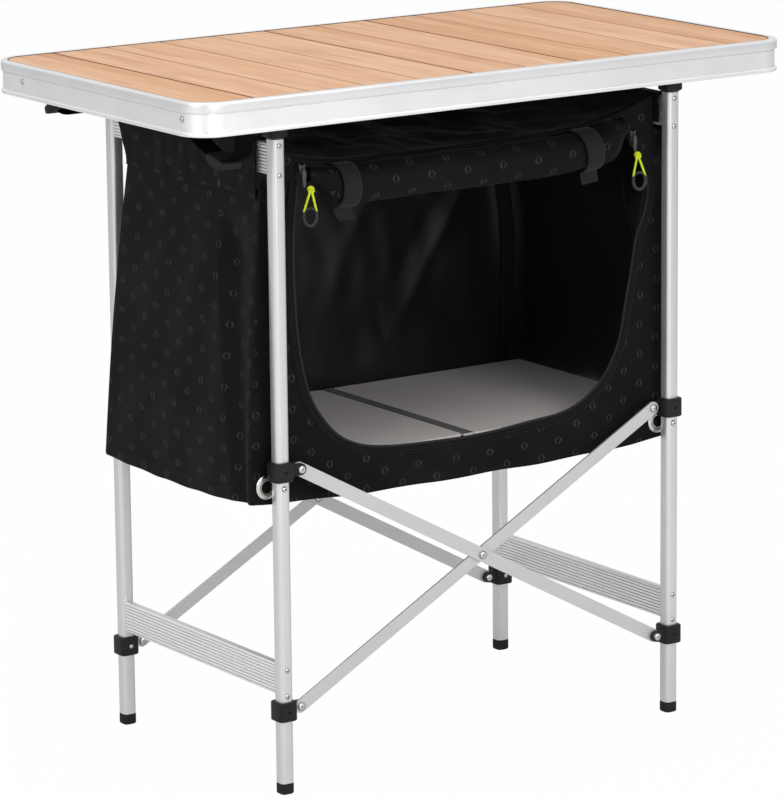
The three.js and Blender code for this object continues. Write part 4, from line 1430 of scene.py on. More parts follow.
@dataclass
class TableTop:
    """The slatted top with its rim, rails and carry strap."""

    finishes: Finishes
    repeats: Repeats
    length: float = 0.8598
    depth: float = 0.471
    pitch: float = 0.0768
    slat_count: int = 11
    slat_top: float = 0.8492
    seam_depth: float = 0.0018
    open_depth: float = 0.0042
    open_seams: tuple[int, ...] = (0, 4, 6)
    strip_width: float = 0.0013
    strip_height: float = 0.004
    strip_margin: float = 0.018
    rim_width: float = 0.0075
    rim_corner: float = 0.04
    outer_corner: Pair = (0.038, 0.033)
    lip_width: float = 0.0075
    lip_foot: float = 0.8374
    joint_gap: float = 0.0004
    joint_levels: Pair = (-0.001, 0.0007)
    joint_thickness: float = 0.0006
    rivet: Head = Head(0.0034, 0.0013, 0.22)
    rivet_z: float = 0.8297
    rivet_y: Pair = (-0.2, 0.16)
    face_inset: float = 0.002
    strap_width: float = 0.025
    strap_thickness: float = 0.0012
    strap_inset: float = 0.04
    strap_sway: float = 0.03
    strap_top: float = 0.8155
    strap_drop: float = 0.039
    strap_gap: float = 0.004
    buckle_size: Triple = (0.031, 0.036, 0.0125)
    buckle_taper: Pair = (0.16, 0.35)
    buckle_round: float = 0.0012

    PROFILE = (
        (0.0075, 0.8494), (0.0069, 0.85), (0.0020, 0.85), (0.0011, 0.8498), (0.0004, 0.8492), (0.0001, 0.8484),
        (0.0, 0.8472), (0.0, 0.8386), (0.0003, 0.8378), (0.0009, 0.8375), (0.0034, 0.8375), (0.0034, 0.8364),
        (0.0020, 0.8361), (0.0020, 0.8164), (0.0030, 0.8161), (0.0030, 0.8156), (0.0009, 0.8154),
        (0.0003, 0.8151), (0.0, 0.8145), (0.0, 0.8112), (0.0003, 0.8104), (0.0010, 0.81), (0.0040, 0.81),
        (0.0040, 0.8374), (0.0150, 0.8374), (0.0150, 0.8392), (0.0075, 0.8392),
    )
    STRAP_SHARES = (
        (0.99, 0), (0.87, 0.2), (0.68, 0.25), (0.55, 0.58), (0.41, 0.48), (0.35, 0.28), (0.17, 0.2),
        (-0.26, 0.2), (-0.56, 0.45), (-0.65, 0.72), (-0.76, 0.96), (-0.88, 1), (-0.96, 0.7), (-0.99, 0),
    )
    BUCKLES = (("front", -0.80, 0.25), ("rear", 0.62, -0.3))

    def build(self) -> None:
        """Builds every piece of the top."""
        self.rim_band()
        for number in range(1, self.slat_count + 1):
            self.dress(f"slat_{number:02d}", self.finishes.bamboo)
        for end in ("front", "rear"):
            self.dress(f"rail_{end}", self.finishes.bar)
        self.seam_strips()
        self.shadow_line()
        self.rim_rivets()
        self.carry_strap()

    def dress(self, node: str, finish: Material) -> None:
        """Gives a CAD piece its finish."""
        set_materials(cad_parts[node], finish)
        LOG.info("%s dressed", node)

    def rounded_ring(self, inset: float, steps: int) -> Array:
        """The rim's rounded outline, moved inwards.

        Args:
            inset: How far inside the outer edge.
            steps: How many parts each corner has.

        Returns:
            The points, anticlockwise from above.
        """
        quarter = np.linspace(0, math.pi / 2, steps + 1)
        turns = np.concatenate([number * math.pi / 2 + quarter for number in range(4)])
        way_x = np.repeat([1, -1, -1, 1], steps + 1)
        way_y = np.repeat([1, 1, -1, -1], steps + 1)
        outer = np.where(way_x > 0, self.outer_corner[1], self.outer_corner[0])
        corner = mix(outer, self.rim_corner, clamp(inset / self.lip_width))
        x = way_x * (self.length / 2 - corner) + (corner - inset) * np.cos(turns)
        y = way_y * (self.depth / 2 - corner) + (corner - inset) * np.sin(turns)
        return np.stack([x, y], axis=1)

    def rim_band(self) -> None:
        """The rim: a rounded lip, a set-back face between fine grooves, and a bead."""
        loops = [self.rounded_ring(inset, 14) for inset, _ in self.PROFILE]
        verts = [(*place, z) for places in zip(*loops) for place, (_, z) in zip(places, self.PROFILE)]
        mesh = plain_mesh("rim_band", verts, grid_faces(len(loops[0]), len(loops), True, True))
        make_outward(mesh)
        smooth(mesh, 32)
        rim = new_object("rim_band", mesh)
        set_materials(rim, self.finishes.rim, self.finishes.lip)
        # Painted shade: faces above the lip's foot take the darker copy of the rim's metal.
        paint_faces(rim, 1, lambda co: co.z > self.lip_foot)
        settle(rim, Body.TOP, "rim_aluminium", ["top_rim"])

    def seam_strips(self) -> None:
        """Brown strips under the gaps between the slats, whose colour paints the shade in the gaps; the open
        seams sit deeper.
        """
        count = self.slat_count - 1
        places = []
        for seam in range(count):
            depth = self.open_depth if seam in self.open_seams else self.seam_depth
            x = (seam - (count - 1) / 2) * self.pitch
            places.append((x, 0.0, self.slat_top - depth - self.strip_height / 2))
        size = (self.strip_width, self.depth - self.strip_margin, self.strip_height)
        base = points_mesh("seam_backing", places)
        strips = self.repeats.grow(base, self.repeats.strips, Size=size, Material=self.finishes.seam_board)
        settle(strips, Body.TOP, "bamboo_slats")

    def shadow_line(self) -> None:
        """A dark ring between the slats and the rim, painting the shadow in the gap under the rim's lip."""
        ring = self.rounded_ring(self.rim_width + self.joint_gap, 12)
        levels = np.array([self.slat_top + level for level in self.joint_levels])
        points = layers(ring[None, :, 0], ring[None, :, 1], levels[:, None])
        joint = patch_object("rim_gap_shade", points, points[..., :2], [self.finishes.joint], ring=True)
        thicken(joint, self.joint_thickness)
        settle(joint, Body.TOP, "bamboo_slats")

    def rim_rivets(self) -> None:
        """Two rivets on each short end of the rim."""
        x = self.length / 2 - self.face_inset
        places = [(way * x, y, self.rivet_z) for way in (-1, 1) for y in self.rivet_y]
        facings = [(way, 0.0, 0.0) for way in (-1, 1) for _ in self.rivet_y]
        settle(self.repeats.heads("rim_rivets", places, facings, self.rivet), Body.TOP, "nickel")

    def carry_strap(self) -> None:
        """The webbing that hangs in two loops under the left end."""
        half = self.depth / 2 - self.strap_gap
        along, drop = np.array(self.STRAP_SHARES).T
        x = -self.length / 2 + self.strap_inset + self.strap_sway * (1 - along) / 2
        path = spline(np.stack([x, along * half, self.strap_top - drop * self.strap_drop], axis=1), 160)
        spread = over(9, -0.5, 0.5) * self.strap_width
        points = layers(path[:, [0]] + spread, path[:, [1]], path[:, [2]])
        uv = layers(spread, arc_of(path)[:, None])
        strap = patch_object("carry_webbing", points, uv, [self.finishes.strap])
        thicken(strap, self.strap_thickness)
        settle(strap, Body.TOP, "webbing", ["carry_strap"])
        for name, at, lean in self.BUCKLES:
            self.buckle(f"buckle_{name}", path[np.argmin(np.abs(path[:, 1] - at * half))], lean)

    def buckle(self, name: str, centre: Array, lean: float) -> None:
        """A moulded side-release buckle on the strap.

        Args:
            name: The piece's name.
            centre: Where it sits.
            lean: Its turn about X, in radians.
        """
        _, length, height = self.buckle_size
        narrow, flat = self.buckle_taper
        work = block(self.buckle_size)
        bmesh.ops.subdivide_edges(work, edges=work.edges, cuts=3, use_grid_fill=True)
        for vertex in work.verts:
            share = abs(vertex.co.y) / (length / 2)
            vertex.co.x *= 1 - narrow * share**2
            vertex.co.z *= 1 - flat * share**2
        low = Vector(centre) - Vector((0.0, 0.0, height / 4))
        turn = Matrix.Translation(low) @ Matrix.Rotation(lean, 4, "X")
        bmesh.ops.transform(work, matrix=turn, verts=work.verts)
        mesh = mesh_of(work, bpy.data.meshes.new(name))
        smooth(mesh)
        obj = new_object(name, mesh)
        soften(obj, self.buckle_round, 3)
        set_materials(obj, self.finishes.rubber)
        settle(obj, Body.TOP, "black_plastic")


@dataclass
class FoldingFrame:
    """Tubes, feet, heads, planks, collars and scissor braces."""

    finishes: Finishes
    repeats: Repeats
    rivet_heights: tuple[float, ...] = (0.783, 0.7485, 0.1535, 0.1215)
    stop_height: float = 0.375
    rivet: Head = Head(0.0029, 0.0011, 0.32)
    stop: Head = Head(0.0033, 0.0022, 0.32)
    bolt: Head = Head(0.0028, 0.0016, 0.2, centre="nickel")
    bolt_z: float = 0.806
    bolt_shift: float = 0.003
    # The dark-metal centre finish gives each pivot dome a dark ring round its foot, a painted dark reflection,
    # and a dark dot at its top.
    dome: Head = Head(0.0046, 0.0014, 0.2, centre="dark_metal")
    # The collar hole is a flat near-black disc on the face: painted shade for the inside of the hole.
    hole_shade: Head = Head(0.0015, 0.0003, 0.24, "hole_shade")
    screw: Head = Head(0.0027, 0.0010, 0.3)
    collar_half: float = 0.013
    collar_mid: float = 0.0005
    pin_radius: float = 0.0051
    plank_gap: float = 0.0003
    rib_count: int = 10
    rib_steps: int = 8
    rib_depth: float = 0.0012
    edge_round: float = 0.0032
    head_half: float = 0.012
    foot_height: float = 0.0136
    foot_trim: float = 0.935

    PLANKS = (("upper", LAYOUT.plank_top, 0.039), ("lower", 0.1605, 0.0395))

    def build(self) -> None:
        """Builds both side frames and the braces."""
        for side in Side:
            for end in ("front", "rear"):
                self.corner(side, end)
            self.planks(side)
            self.leg_rivets(side)
            self.collar_screws(side)
        for end in ("front", "rear"):
            for lean, body in (("falling", Body.FALLING), ("rising", Body.RISING)):
                self.brace(end, lean, body)

    @staticmethod
    def levels(side: Side) -> tuple[tuple[str, Body, float], ...]:
        """The two levels of collars on one side, with their bodies and heights."""
        return ("upper", side.own("COLLARS"), LAYOUT.upper_pivot), ("lower", side.body, LAYOUT.lower_pivot)

    def corner(self, side: Side, end: str) -> None:
        """One leg with its foot, head and two collars.

        Args:
            side: The frame it belongs to.
            end: Front or rear.
        """
        corner = f"{side.label}_{end}"
        pieces = (
            (f"tube_{corner}", f"leg_{corner}", 0.0, self.finishes.tube, "frame_aluminium", 40.0),
            (f"foot_cap_{corner}", f"foot_{corner}", 0.0012, self.finishes.rubber, "black_plastic", 30.0),
            (f"head_cap_{corner}", f"head_{corner}", 0.0004, self.finishes.plastic, "black_plastic", 30.0),
        )
        for name, node, bevel, material, slot, degrees in pieces:
            obj = dressed_copy(name, node, bevel, degrees)
            if node.startswith("foot"):
                self.slim_foot(obj, side, end)
            set_materials(obj, material)
            settle(obj, side.body, slot, [node])
        for level, body, height in self.levels(side):
            node = f"collar_{level}_{corner}"
            obj = dressed_copy(f"slider_{node}", node, 0.0004)
            set_materials(obj, self.finishes.plastic, self.finishes.nickel)
            self.pin_heads(obj, side.value * LAYOUT.pivot_x, height, body)
            settle(obj, body, "black_plastic", [node])

    def slim_foot(self, obj: Object, side: Side, end: str) -> None:
        """Trims a foot cap so that it hardly stands out from its tube.

        Args:
            obj: The cap.
            side: The frame it belongs to.
            end: Front or rear.
        """
        middle = (side.value * LAYOUT.leg_x, -LAYOUT.leg_y if end == "front" else LAYOUT.leg_y)
        for vertex in obj.data.vertices:
            if vertex.co.z < self.foot_height:
                for axis in (0, 1):
                    vertex.co[axis] = mix(middle[axis], vertex.co[axis], self.foot_trim)

    def pin_heads(self, obj: Object, x: float, z: float, body: Body) -> None:
        """Brightens a pin and puts a dome on each of its heads.

        Args:
            obj: The piece that holds the pin.
            x: The pin's place across.
            z: The pin's height.
            body: The body that carries it.
        """

        def near(co: Vector) -> bool:
            """Whether a corner belongs to the pin."""
            return math.hypot(co.x - x, co.z - z) < self.pin_radius

        paint_faces(obj, 1, near)
        ends = [vertex.co.y for vertex in obj.data.vertices if near(vertex.co)]
        places = [(x, min(ends), z), (x, max(ends), z)]
        facings = [(0.0, -1.0, 0.0), (0.0, 1.0, 0.0)]
        domes = self.repeats.heads(f"domes_{obj.name}", places, facings, self.dome)
        settle(domes, body, "nickel")

    def planks(self, side: Side) -> None:
        """The two ribbed planks between the legs of one side.

        Args:
            side: The side.
        """
        for level, top, height in self.PLANKS:
            node = f"plank_{level}_{side.label}"
            obj = self.ribbed_bar(f"ribbed_{node}", side.value * LAYOUT.leg_x, top - height, height)
            set_materials(obj, self.finishes.plank)
            settle(obj, side.body, "frame_aluminium", [node])

    def ribbed_bar(self, name: str, x: float, bottom: float, height: float) -> Object:
        """A flat extrusion with ribs along both faces.

        Args:
            name: The piece's name.
            x: The middle of its thickness.
            bottom: Its lower edge.
            height: Its height.

        Returns:
            The object.
        """
        share = np.arange(self.rib_count * self.rib_steps) / self.rib_steps
        bulge = np.abs(np.sin(math.pi * share)) ** 0.35
        half = LAYOUT.plank_half
        rise = share * height / self.rib_count
        shy = 1 - clamp(np.minimum(rise, height - rise) / self.edge_round)
        reach = half - self.rib_depth * (1 - bulge) - half * 0.7 * (1 - np.sqrt(1 - shy**2))
        trim = height / self.rib_count / 8
        rise = np.clip(rise, trim, height - trim)
        outline = [(x + dx, bottom + dz) for dx, dz in zip(reach, rise)]
        outline += [(x - dx, bottom + dz) for dx, dz in zip(reach[::-1], rise[::-1])]
        end = LAYOUT.leg_y - LAYOUT.leg_width / 2 - self.plank_gap
        verts = [(px, y, pz) for y in (-end, end) for px, pz in outline]
        mesh = plain_mesh(name, verts, skin_faces(2, len(outline)))
        make_outward(mesh)
        layer = mesh.uv_layers.new(name=UV_MAP)
        for loop in mesh.loops:
            co = mesh.vertices[loop.vertex_index].co
            layer.data[loop.index].uv = (co.y, (co.z - bottom) / height)
        smooth(mesh, 50)
        return new_object(name, mesh)

    def leg_rivets(self, side: Side) -> None:
        """Rivets that hold the planks and stop the sliding collars.

        Args:
            side: The side.
        """
        ways = (-1, 1)
        x, name = side.value * LAYOUT.leg_x, f"rivets_{side.label}"
        parts = []
        for heights, head in ((self.rivet_heights, self.rivet), ((self.stop_height,), self.stop)):
            places = [(x, way * LAYOUT.leg_face, z) for way in ways for z in heights]
            facings = [(0.0, way, 0.0) for way in ways for _ in heights]
            parts.append(self.repeats.heads(f"{name}_{len(parts)}", places, facings, head))
        out = side.value * (LAYOUT.leg_x + self.head_half)
        bolts = [(out, way * (LAYOUT.leg_y + self.bolt_shift), self.bolt_z) for way in ways]
        parts.append(self.repeats.heads(f"{name}_bolt", bolts, [(side.value, 0.0, 0.0)] * 2, self.bolt))
        settle(join_objects(f"leg_{name}", parts), side.body, "nickel")

    def collar_screws(self, side: Side) -> None:
        """A flat dark disc outside each collar, painting the shade in its small hole, and the screw on the side
        that faces in.

        Args:
            side: The side.
        """
        x = side.value * LAYOUT.leg_x
        for level, body, pivot in self.levels(side):
            z = pivot - self.collar_mid
            for kind, way, head in (("hole_shade", 1, self.hole_shade), ("screw", -1, self.screw)):
                y = LAYOUT.leg_y + way * self.collar_half
                name = f"collar_{kind}s_{level}_{side.label}"
                facings = [(0.0, -way, 0.0), (0.0, way, 0.0)]
                settle(self.repeats.heads(name, [(x, -y, z), (x, y, z)], facings, head), body, "nickel")

    def brace(self, end: str, lean: str, body: Body) -> None:
        """One flat brace, with its bright rivet where it has one.

        Args:
            end: Front or rear.
            lean: Falling or rising.
            body: The body that it is part of.
        """
        node = f"brace_{end}_{lean}"
        obj = dressed_copy(f"bar_{end}_{lean}", node, 0.0005)
        set_materials(obj, self.finishes.bar, self.finishes.nickel)
        if lean == "rising":
            self.pin_heads(obj, 0.0, (LAYOUT.lower_pivot + LAYOUT.upper_pivot) / 2, body)
        settle(obj, body, "brace_aluminium", [node])


@dataclass
class ClothCupboard:
    """The hanging fabric cupboard with its panels, sleeves and seams."""

    finishes: Finishes
    repeats: Repeats
    cloth: float = 0.001
    side_top: float = 0.7275
    side_bow: float = 0.006
    side_dip: float = -0.015
    crest: Pair = (0.062, 0.014)
    sleeve_front: Pair = (-0.153, -0.1695)
    sleeve_back: float = 0.158
    sleeve_slant: float = 0.022
    sleeve_crown: float = 0.0011
    sleeve_points: int = 90
    tack: Head = Head(0.0016, 0.0005, 0.3, "tack", "tack")
    tack_y: Pair = (-0.075, 0.01)
    tack_z: Triple = (0.7228, 0.7252, 0.7275)
    piping_z: Pair = (0.733, 0.3575)
    piping_radius: float = 0.0014
    leaf_room: float = 0.1605
    roof_keep: float = 0.2966
    room_fade: float = 0.045
    room_edge: float = 0.16
    floor_z: float = 0.3919
    floor_margin: float = 0.0044
    floor_gap: float = 0.0084
    ripple: float = 0.092
    mouth_half: float = 0.256
    mouth_bottom: float = 0.392
    mouth_strip: float = 0.003
    mouth_corner_strip: float = 0.01
    tape_width: float = 0.009
    tape_z: Pair = (0.742, 0.392)
    tape_x: Pair = (0.279, 0.297)
    tape_thickness: float = 0.0012
    teeth_pitch: float = 0.0022
    teeth_size: Triple = (0.0017, 0.0028, 0.0012)
    stitch_size: Triple = (0.0005, 0.0006, 0.0027)

    MOUTH_SHARES = (
        (-0.96, 1), (-1, 0.77), (-1, 0.58), (-0.977, 0.38), (-0.93, 0.24), (-0.863, 0.153), (-0.77, 0.08),
        (-0.65, 0.035), (-0.5, 0.014), (-0.24, 0.003), (0.03, 0), (0.31, 0.014), (0.57, 0.035),
        (0.72, 0.089), (0.81, 0.156), (0.88, 0.25), (0.92, 0.37), (0.957, 0.49), (0.992, 0.61),
        (1.045, 0.7), (1.0625, 0.79), (1.02, 0.88), (0.95, 0.955), (0.92, 1),
    )
    BACK_FOLDS = (
        Crumple(21, 0.26, 0.004, 0.5, 1.4),
        Crease(-0.0036, (0.27, 0.71), (0.07, 0.40), 0.009),
        Crease(0.0022, (0.25, 0.72), (0.03, 0.41), 0.014),
        Crease(-0.0030, (0.12, 0.74), (-0.02, 0.47), 0.016),
        Crease(0.0042, (0.075, 0.50), (0.105, 0.43), 0.012),
        Crease(-0.006, (-0.22, 0.70), (-0.05, 0.46), 0.012),
    )
    ROOF_FOLDS = (Crumple(41, 0.14, 0.004, 0.3, 1.4), Crease(0.005, (-0.27, -0.10), (-0.10, -0.02), 0.012))
    FRONT_FOLDS = Crumple(5, 0.15, 0.0028, 0.9, 1.7)
    FLOOR_FOLDS = Crumple(51, 0.16, 0.003, 0.8, 2.0)
    SIDES = ("side_cloth_left", "side_cloth_right")

    def build(self) -> None:
        """Builds every panel and its seams."""
        for side in Side:
            self.side_panel(side)
            self.sleeve(side)
            self.corner_piping(side)
            self.eyelet(side)
        self.front_panel()
        self.back_panel()
        self.roof()
        self.floor()
        self.zip_track()

    @property
    def materials(self) -> tuple[Material, Material]:
        """The printed outside and the plain inside."""
        return self.finishes.print, self.finishes.lining

    def hang(
        self, obj: Object, rests_on: Sequence[str], body: Body = Body.LEFT,
        replaces: Sequence[str] = (), gathers: bool = False,
    ) -> None:
        """Gives a panel its thickness and makes it ride.

        Args:
            obj: The panel.
            rests_on: The pieces that hold it.
            body: The body that carries it.
            replaces: The CAD nodes that it stands for.
            gathers: Whether it gets its own copy of its mesh.
        """
        declare_sheet(rests_on)
        thicken(obj, self.cloth)
        settle(obj, body, "black_fabric", replaces, gathers)

    def mouth_top(self, x: Value) -> Value:
        """The height of the mouth's upper edge."""
        strip = mix(self.mouth_strip, self.mouth_corner_strip, np.abs(x / self.mouth_half) ** 4)
        return LAYOUT.roof_z(x, LAYOUT.roof_sag) - strip

    def mouth_edge(self, count: int) -> Array:
        """Points down the left side of the mouth, along its foot and up the right side.

        Args:
            count: How many points to return.

        Returns:
            The points, as places across and heights.
        """
        height = LAYOUT.plank_top - LAYOUT.roof_sag - self.mouth_bottom
        points = np.array(self.MOUTH_SHARES) * (self.mouth_half, height) + (0, self.mouth_bottom)
        for end in (0, -1):
            points[end, 1] = self.mouth_top(points[end, 0])
        return spline(points, count)

    def side_panel(self, side: Side) -> None:
        """One side of the bag below its sleeve.

        Args:
            side: The side.
        """
        v, u = down(120), over(110)
        z = mix(self.side_top, LAYOUT.hem_z(LAYOUT.bottom_half), v)
        z = z - self.side_bow * arch(u) * clamp(v * 2 - 1)
        front = LAYOUT.front_y(z) + LAYOUT.seam
        y = mix(front, LAYOUT.back_y(z) - LAYOUT.seam, u)
        folds = Crumple(11 + side.value, 0.21, 0.0022, 1.2, 1.3).height(y, z)
        folds += 0.0008 * np.sin(TURN * (y + z / 4) / self.ripple)
        crest = mix(*self.crest, v**1.3)
        hollow = ease((y - front) / crest) * (1 - ease((y - front - crest) / 0.026))
        dip = self.side_dip * hollow * ease((v - 0.06) / 0.2) * (1 - 0.6 * v)
        tuck = 0.0026 * (1 - ease(v / 0.04))
        x = LAYOUT.side_x(z) + arch(u, 0.7) * ease((v - 0.02) / 0.14) * folds + dip - tuck
        if side is Side.RIGHT:
            x = LAYOUT.drawn_in(x, z)
        hem = arch(u) * 0.0007 * np.sin(y * 90) * ease((v - 0.9) / 0.1)
        points = layers(side.value * x, y, z + hem)
        uv = layers(y + 1.0, z + 0.013)
        obj = patch_object(f"side_cloth_{side.label}", points, uv, self.materials, flip=side is Side.RIGHT)
        rests_on, node = [f"ribbed_plank_upper_{side.label}"], f"side_panel_{side.label}"
        self.hang(obj, rests_on, side.body, [node])
        edge = points[-6, 2:-2] + np.array([side.value * 0.0009, 0, 0])
        self.stitches(f"side_hem_stitches_{side.label}", edge, (side.value, 0.0, 0.0), side.body, False)

    def sleeve(self, side: Side) -> None:
        """The loop of cloth that hangs one side over its upper plank.

        Args:
            side: The side.
        """
        top, inner, outer = LAYOUT.plank_top, LAYOUT.sleeve_inner, LAYOUT.sleeve_outer
        crown, brink = top + self.sleeve_crown, top - 0.0008
        path = resample(np.array([
            [inner, top - 0.034],
            [inner, brink],
            [inner + 0.0009, crown],
            [mix(inner, outer, 0.5), crown + 0.0003],
            [outer - 0.0009, crown],
            [outer, brink],
            [outer + 0.0003, LAYOUT.plank_bottom],
            [outer + 0.0014, LAYOUT.sleeve_hem - 0.004],
        ]), self.sleeve_points)
        x, z = path[:, [0]], path[:, [1]]
        front = self.sleeve_front[side is Side.RIGHT]
        back = self.sleeve_back - self.sleeve_slant * ease((top - z) / 0.064)
        y = mix(front, back, over(self.sleeve_points))
        outside = ease((x - outer + 0.0006) / 0.0006) * ease((top - z) / 0.02)
        puff = np.abs(Crumple(31 + side.value, 0.12, 0.0013, 0.4, 1.2).height(y, z)) * outside
        droop = ease((0.75 - z) / 0.03) * outside * (0.0014 * np.sin(y * 31 + 1.1) + 0.0007 * np.sin(y * 83))
        points = layers(side.value * (x + puff), y, z - droop)
        uv = layers(y + 1.017, 0.6 - arc_of(path)[:, None])
        obj = patch_object(f"sleeve_{side.label}", points, uv, self.materials, flip=side is Side.RIGHT)
        self.hang(obj, [f"ribbed_plank_upper_{side.label}"], side.body)
        hem = points[-5, 1:-1] + np.array([side.value * 0.0008, 0, 0])
        self.stitches(f"sleeve_stitches_{side.label}", hem, (side.value, 0.0, 0.0), side.body, False)
        self.tacks(side)

    def tacks(self, side: Side) -> None:
        """Small pale bar tacks that hold the sleeve's hem.

        Args:
            side: The side.
        """
        x = side.value * (LAYOUT.sleeve_outer + 0.0022)
        places = [(x, y, z) for y in self.tack_y for z in self.tack_z]
        facings = [(side.value, 0.0, 0.0)] * len(places)
        tacks = self.repeats.heads(f"sleeve_tacks_{side.label}", places, facings, self.tack)
        settle(tacks, side.body, "webbing")

    def stitches(
        self, name: str, path: Array, facing: Triple, body: Body, gathers: bool, pitch: float = 0.0042,
    ) -> None:
        """A row of stitches along a path.

        Args:
            name: The piece's name.
            path: The points of the seam.
            facing: The way out of the cloth.
            body: The body that carries it.
            gathers: Whether it gets its own copy of its mesh.
            pitch: The step from stitch to stitch.
        """
        sizes = {"Pitch": pitch, "Size": self.stitch_size, "Facing": facing, "Material": self.finishes.thread}
        obj = self.repeats.grow(points_mesh(name, path, chain=True), self.repeats.dashes, **sizes)
        settle(obj, body, "black_fabric", gathers=gathers)

    def corner_piping(self, side: Side) -> None:
        """Piping down the front and back corners of one side.

        Args:
            side: The side.
        """
        parts = []
        z = np.linspace(*self.piping_z, 60)
        x = LAYOUT.drawn_in(side.value * (LAYOUT.side_x(z) - 0.0006), z)
        for place in (LAYOUT.front_y, LAYOUT.back_y):
            path = np.stack([x, place(z), z], axis=1)
            piping = tube_along(f"piping_{side.label}_{len(parts)}", path, self.piping_radius, 8)
            set_materials(piping, self.finishes.tape)
            parts.append(piping)
        settle(join_objects(f"corner_piping_{side.label}", parts), side.body, "black_fabric")

    def eyelet(self, side: Side) -> None:
        """The nickel eyelet in a lower front corner.

        Args:
            side: The side.
        """
        node = f"eyelet_{side.label}"
        obj = dressed_copy(f"nickel_{node}", node, 0.0, 50.0)
        set_materials(obj, self.finishes.nickel)
        settle(obj, side.body, "nickel", [node])

    def front_loops(self, sides: int, foot: int) -> tuple[Array, Array]:
        """The mouth's edge and the front panel's own edge, point for point.

        Args:
            sides: How many steps each side and the top have.
            foot: How many steps the foot has.

        Returns:
            The two loops.
        """
        inner = self.mouth_edge(2 * sides + foot + 1)
        top = np.linspace(inner[-1, 0], inner[0, 0], sides + 1)[1:-1]
        half = LAYOUT.side_x(LAYOUT.hem + LAYOUT.hem_rise)
        levels = [LAYOUT.hem_z(half), *LAYOUT.shoulder, LAYOUT.plank_top]
        z = np.interp(np.linspace(0, 1, sides + 1), [0, 10 / 13, 11 / 13, 1], levels)
        up = np.stack([LAYOUT.panel_half(z), z], axis=1)
        foot_x = np.linspace(-half, half, foot + 1)[1:-1]
        roof_x = np.linspace(LAYOUT.beside_plank, -LAYOUT.beside_plank, sides + 1)[1:-1]
        foot_edge = np.stack([foot_x, LAYOUT.hem_z(foot_x)], axis=1)
        roof_edge = np.stack([roof_x, LAYOUT.roof_z(roof_x, LAYOUT.roof_sag)], axis=1)
        outer = np.vstack([up[::-1] * np.array([-1.0, 1.0]), foot_edge, up, roof_edge])
        return np.vstack([inner, np.stack([top, self.mouth_top(top)], axis=1)]), outer

    def front_panel(self) -> None:
        """The front panel, a ring of cloth round the mouth."""
        sides, foot = 52, 72
        inner, outer = self.front_loops(sides, foot)
        share = down(28)
        flat = mix(outer[None], inner[None], share[..., None])
        x, z = flat[..., 0], flat[..., 1]
        free = arch(clamp(share * 1.08), 0.8) * (1 - ease((share - 0.82) / 0.14))
        low = ease((0.53 - z) / 0.12)
        folds = self.FRONT_FOLDS.height(x, z) + low * 0.0012 * np.sin(TURN * (x + z) / self.ripple)
        sag = low * 0.0008 * np.sin(x * 47) * (1 - ease(share / 0.3))
        points = layers(LAYOUT.drawn_in(x, z), LAYOUT.front_y(z) + free * folds, z + sag)
        obj = patch_object("front_cloth", points, flat + np.array([1.0, 0.0]), self.materials, ring=True)
        self.hang(obj, self.SIDES, Body.LEFT, ["front_panel"], True)
        hem = points[2, sides + 1:sides + foot] + np.array([0, -0.0009, 0])
        self.stitches("front_hem_stitches", hem, (0.0, -1.0, 0.0), Body.LEFT, True)

    def zip_track(self) -> None:
        """The zip's tape, teeth and stitching round the mouth."""
        edge = self.mouth_edge(420)[8:-8]
        tangent = np.gradient(edge, axis=0)
        tangent /= np.linalg.norm(tangent, axis=1)[:, None]
        outward = np.stack([tangent[:, 1], -tangent[:, 0]], axis=1)
        if outward[len(edge) // 2, 1] > 0:
            outward = -outward
        offsets = np.array([-0.0022, 0.0, 0.003, 0.006, self.tape_width])
        lifts = np.array([0.0002, 0.0012, 0.0014, 0.0013, 0.0008])
        flat = edge[None] + offsets[:, None, None] * outward[None]
        points = layers(flat[..., 0], LAYOUT.front_y(flat[..., 1]) - lifts[:, None], flat[..., 1])
        uv = layers(over(len(edge), 0, 1.35), offsets[:, None])
        tape = patch_object("zip_tape", points, uv, [self.finishes.tape])
        thicken(tape, 0.0006)
        settle(tape, Body.LEFT, "black_fabric", gathers=True)

        def beside(offset: float, lift: float) -> Array:
            """A path beside the mouth's edge, a little in front of the cloth."""
            x, z = (edge + offset * outward).T
            return np.stack([x, LAYOUT.front_y(z) - lift, z], axis=1)

        out = (0.0, -1.0, 0.0)
        teeth = self.repeats.grow(
            points_mesh("zip_teeth", beside(-0.0026, 0.0012), chain=True), self.repeats.dashes,
            Pitch=self.teeth_pitch, Size=self.teeth_size, Facing=out, Material=self.finishes.teeth,
        )
        settle(teeth, Body.LEFT, "black_plastic", gathers=True)
        for name, offset in (("inner", 0.0042), ("outer", 0.0078)):
            self.stitches(f"zip_stitches_{name}", beside(offset, 0.0017), out, Body.LEFT, True, 0.0036)

    def back_plane(self, x: Value, z: Value) -> Value:
        """The back cloth's place in depth, with room inside for the rising leaves.

        Args:
            x: The place across.
            z: The height.

        Returns:
            The depth.
        """
        plain = LAYOUT.back_y(z)
        room = np.maximum(self.leaf_room - plain, 0) * ease((LAYOUT.shoulder[0] - z) / self.room_fade)
        return plain + room * ease((1 - np.abs(x) / LAYOUT.panel_half(z)) / self.room_edge)

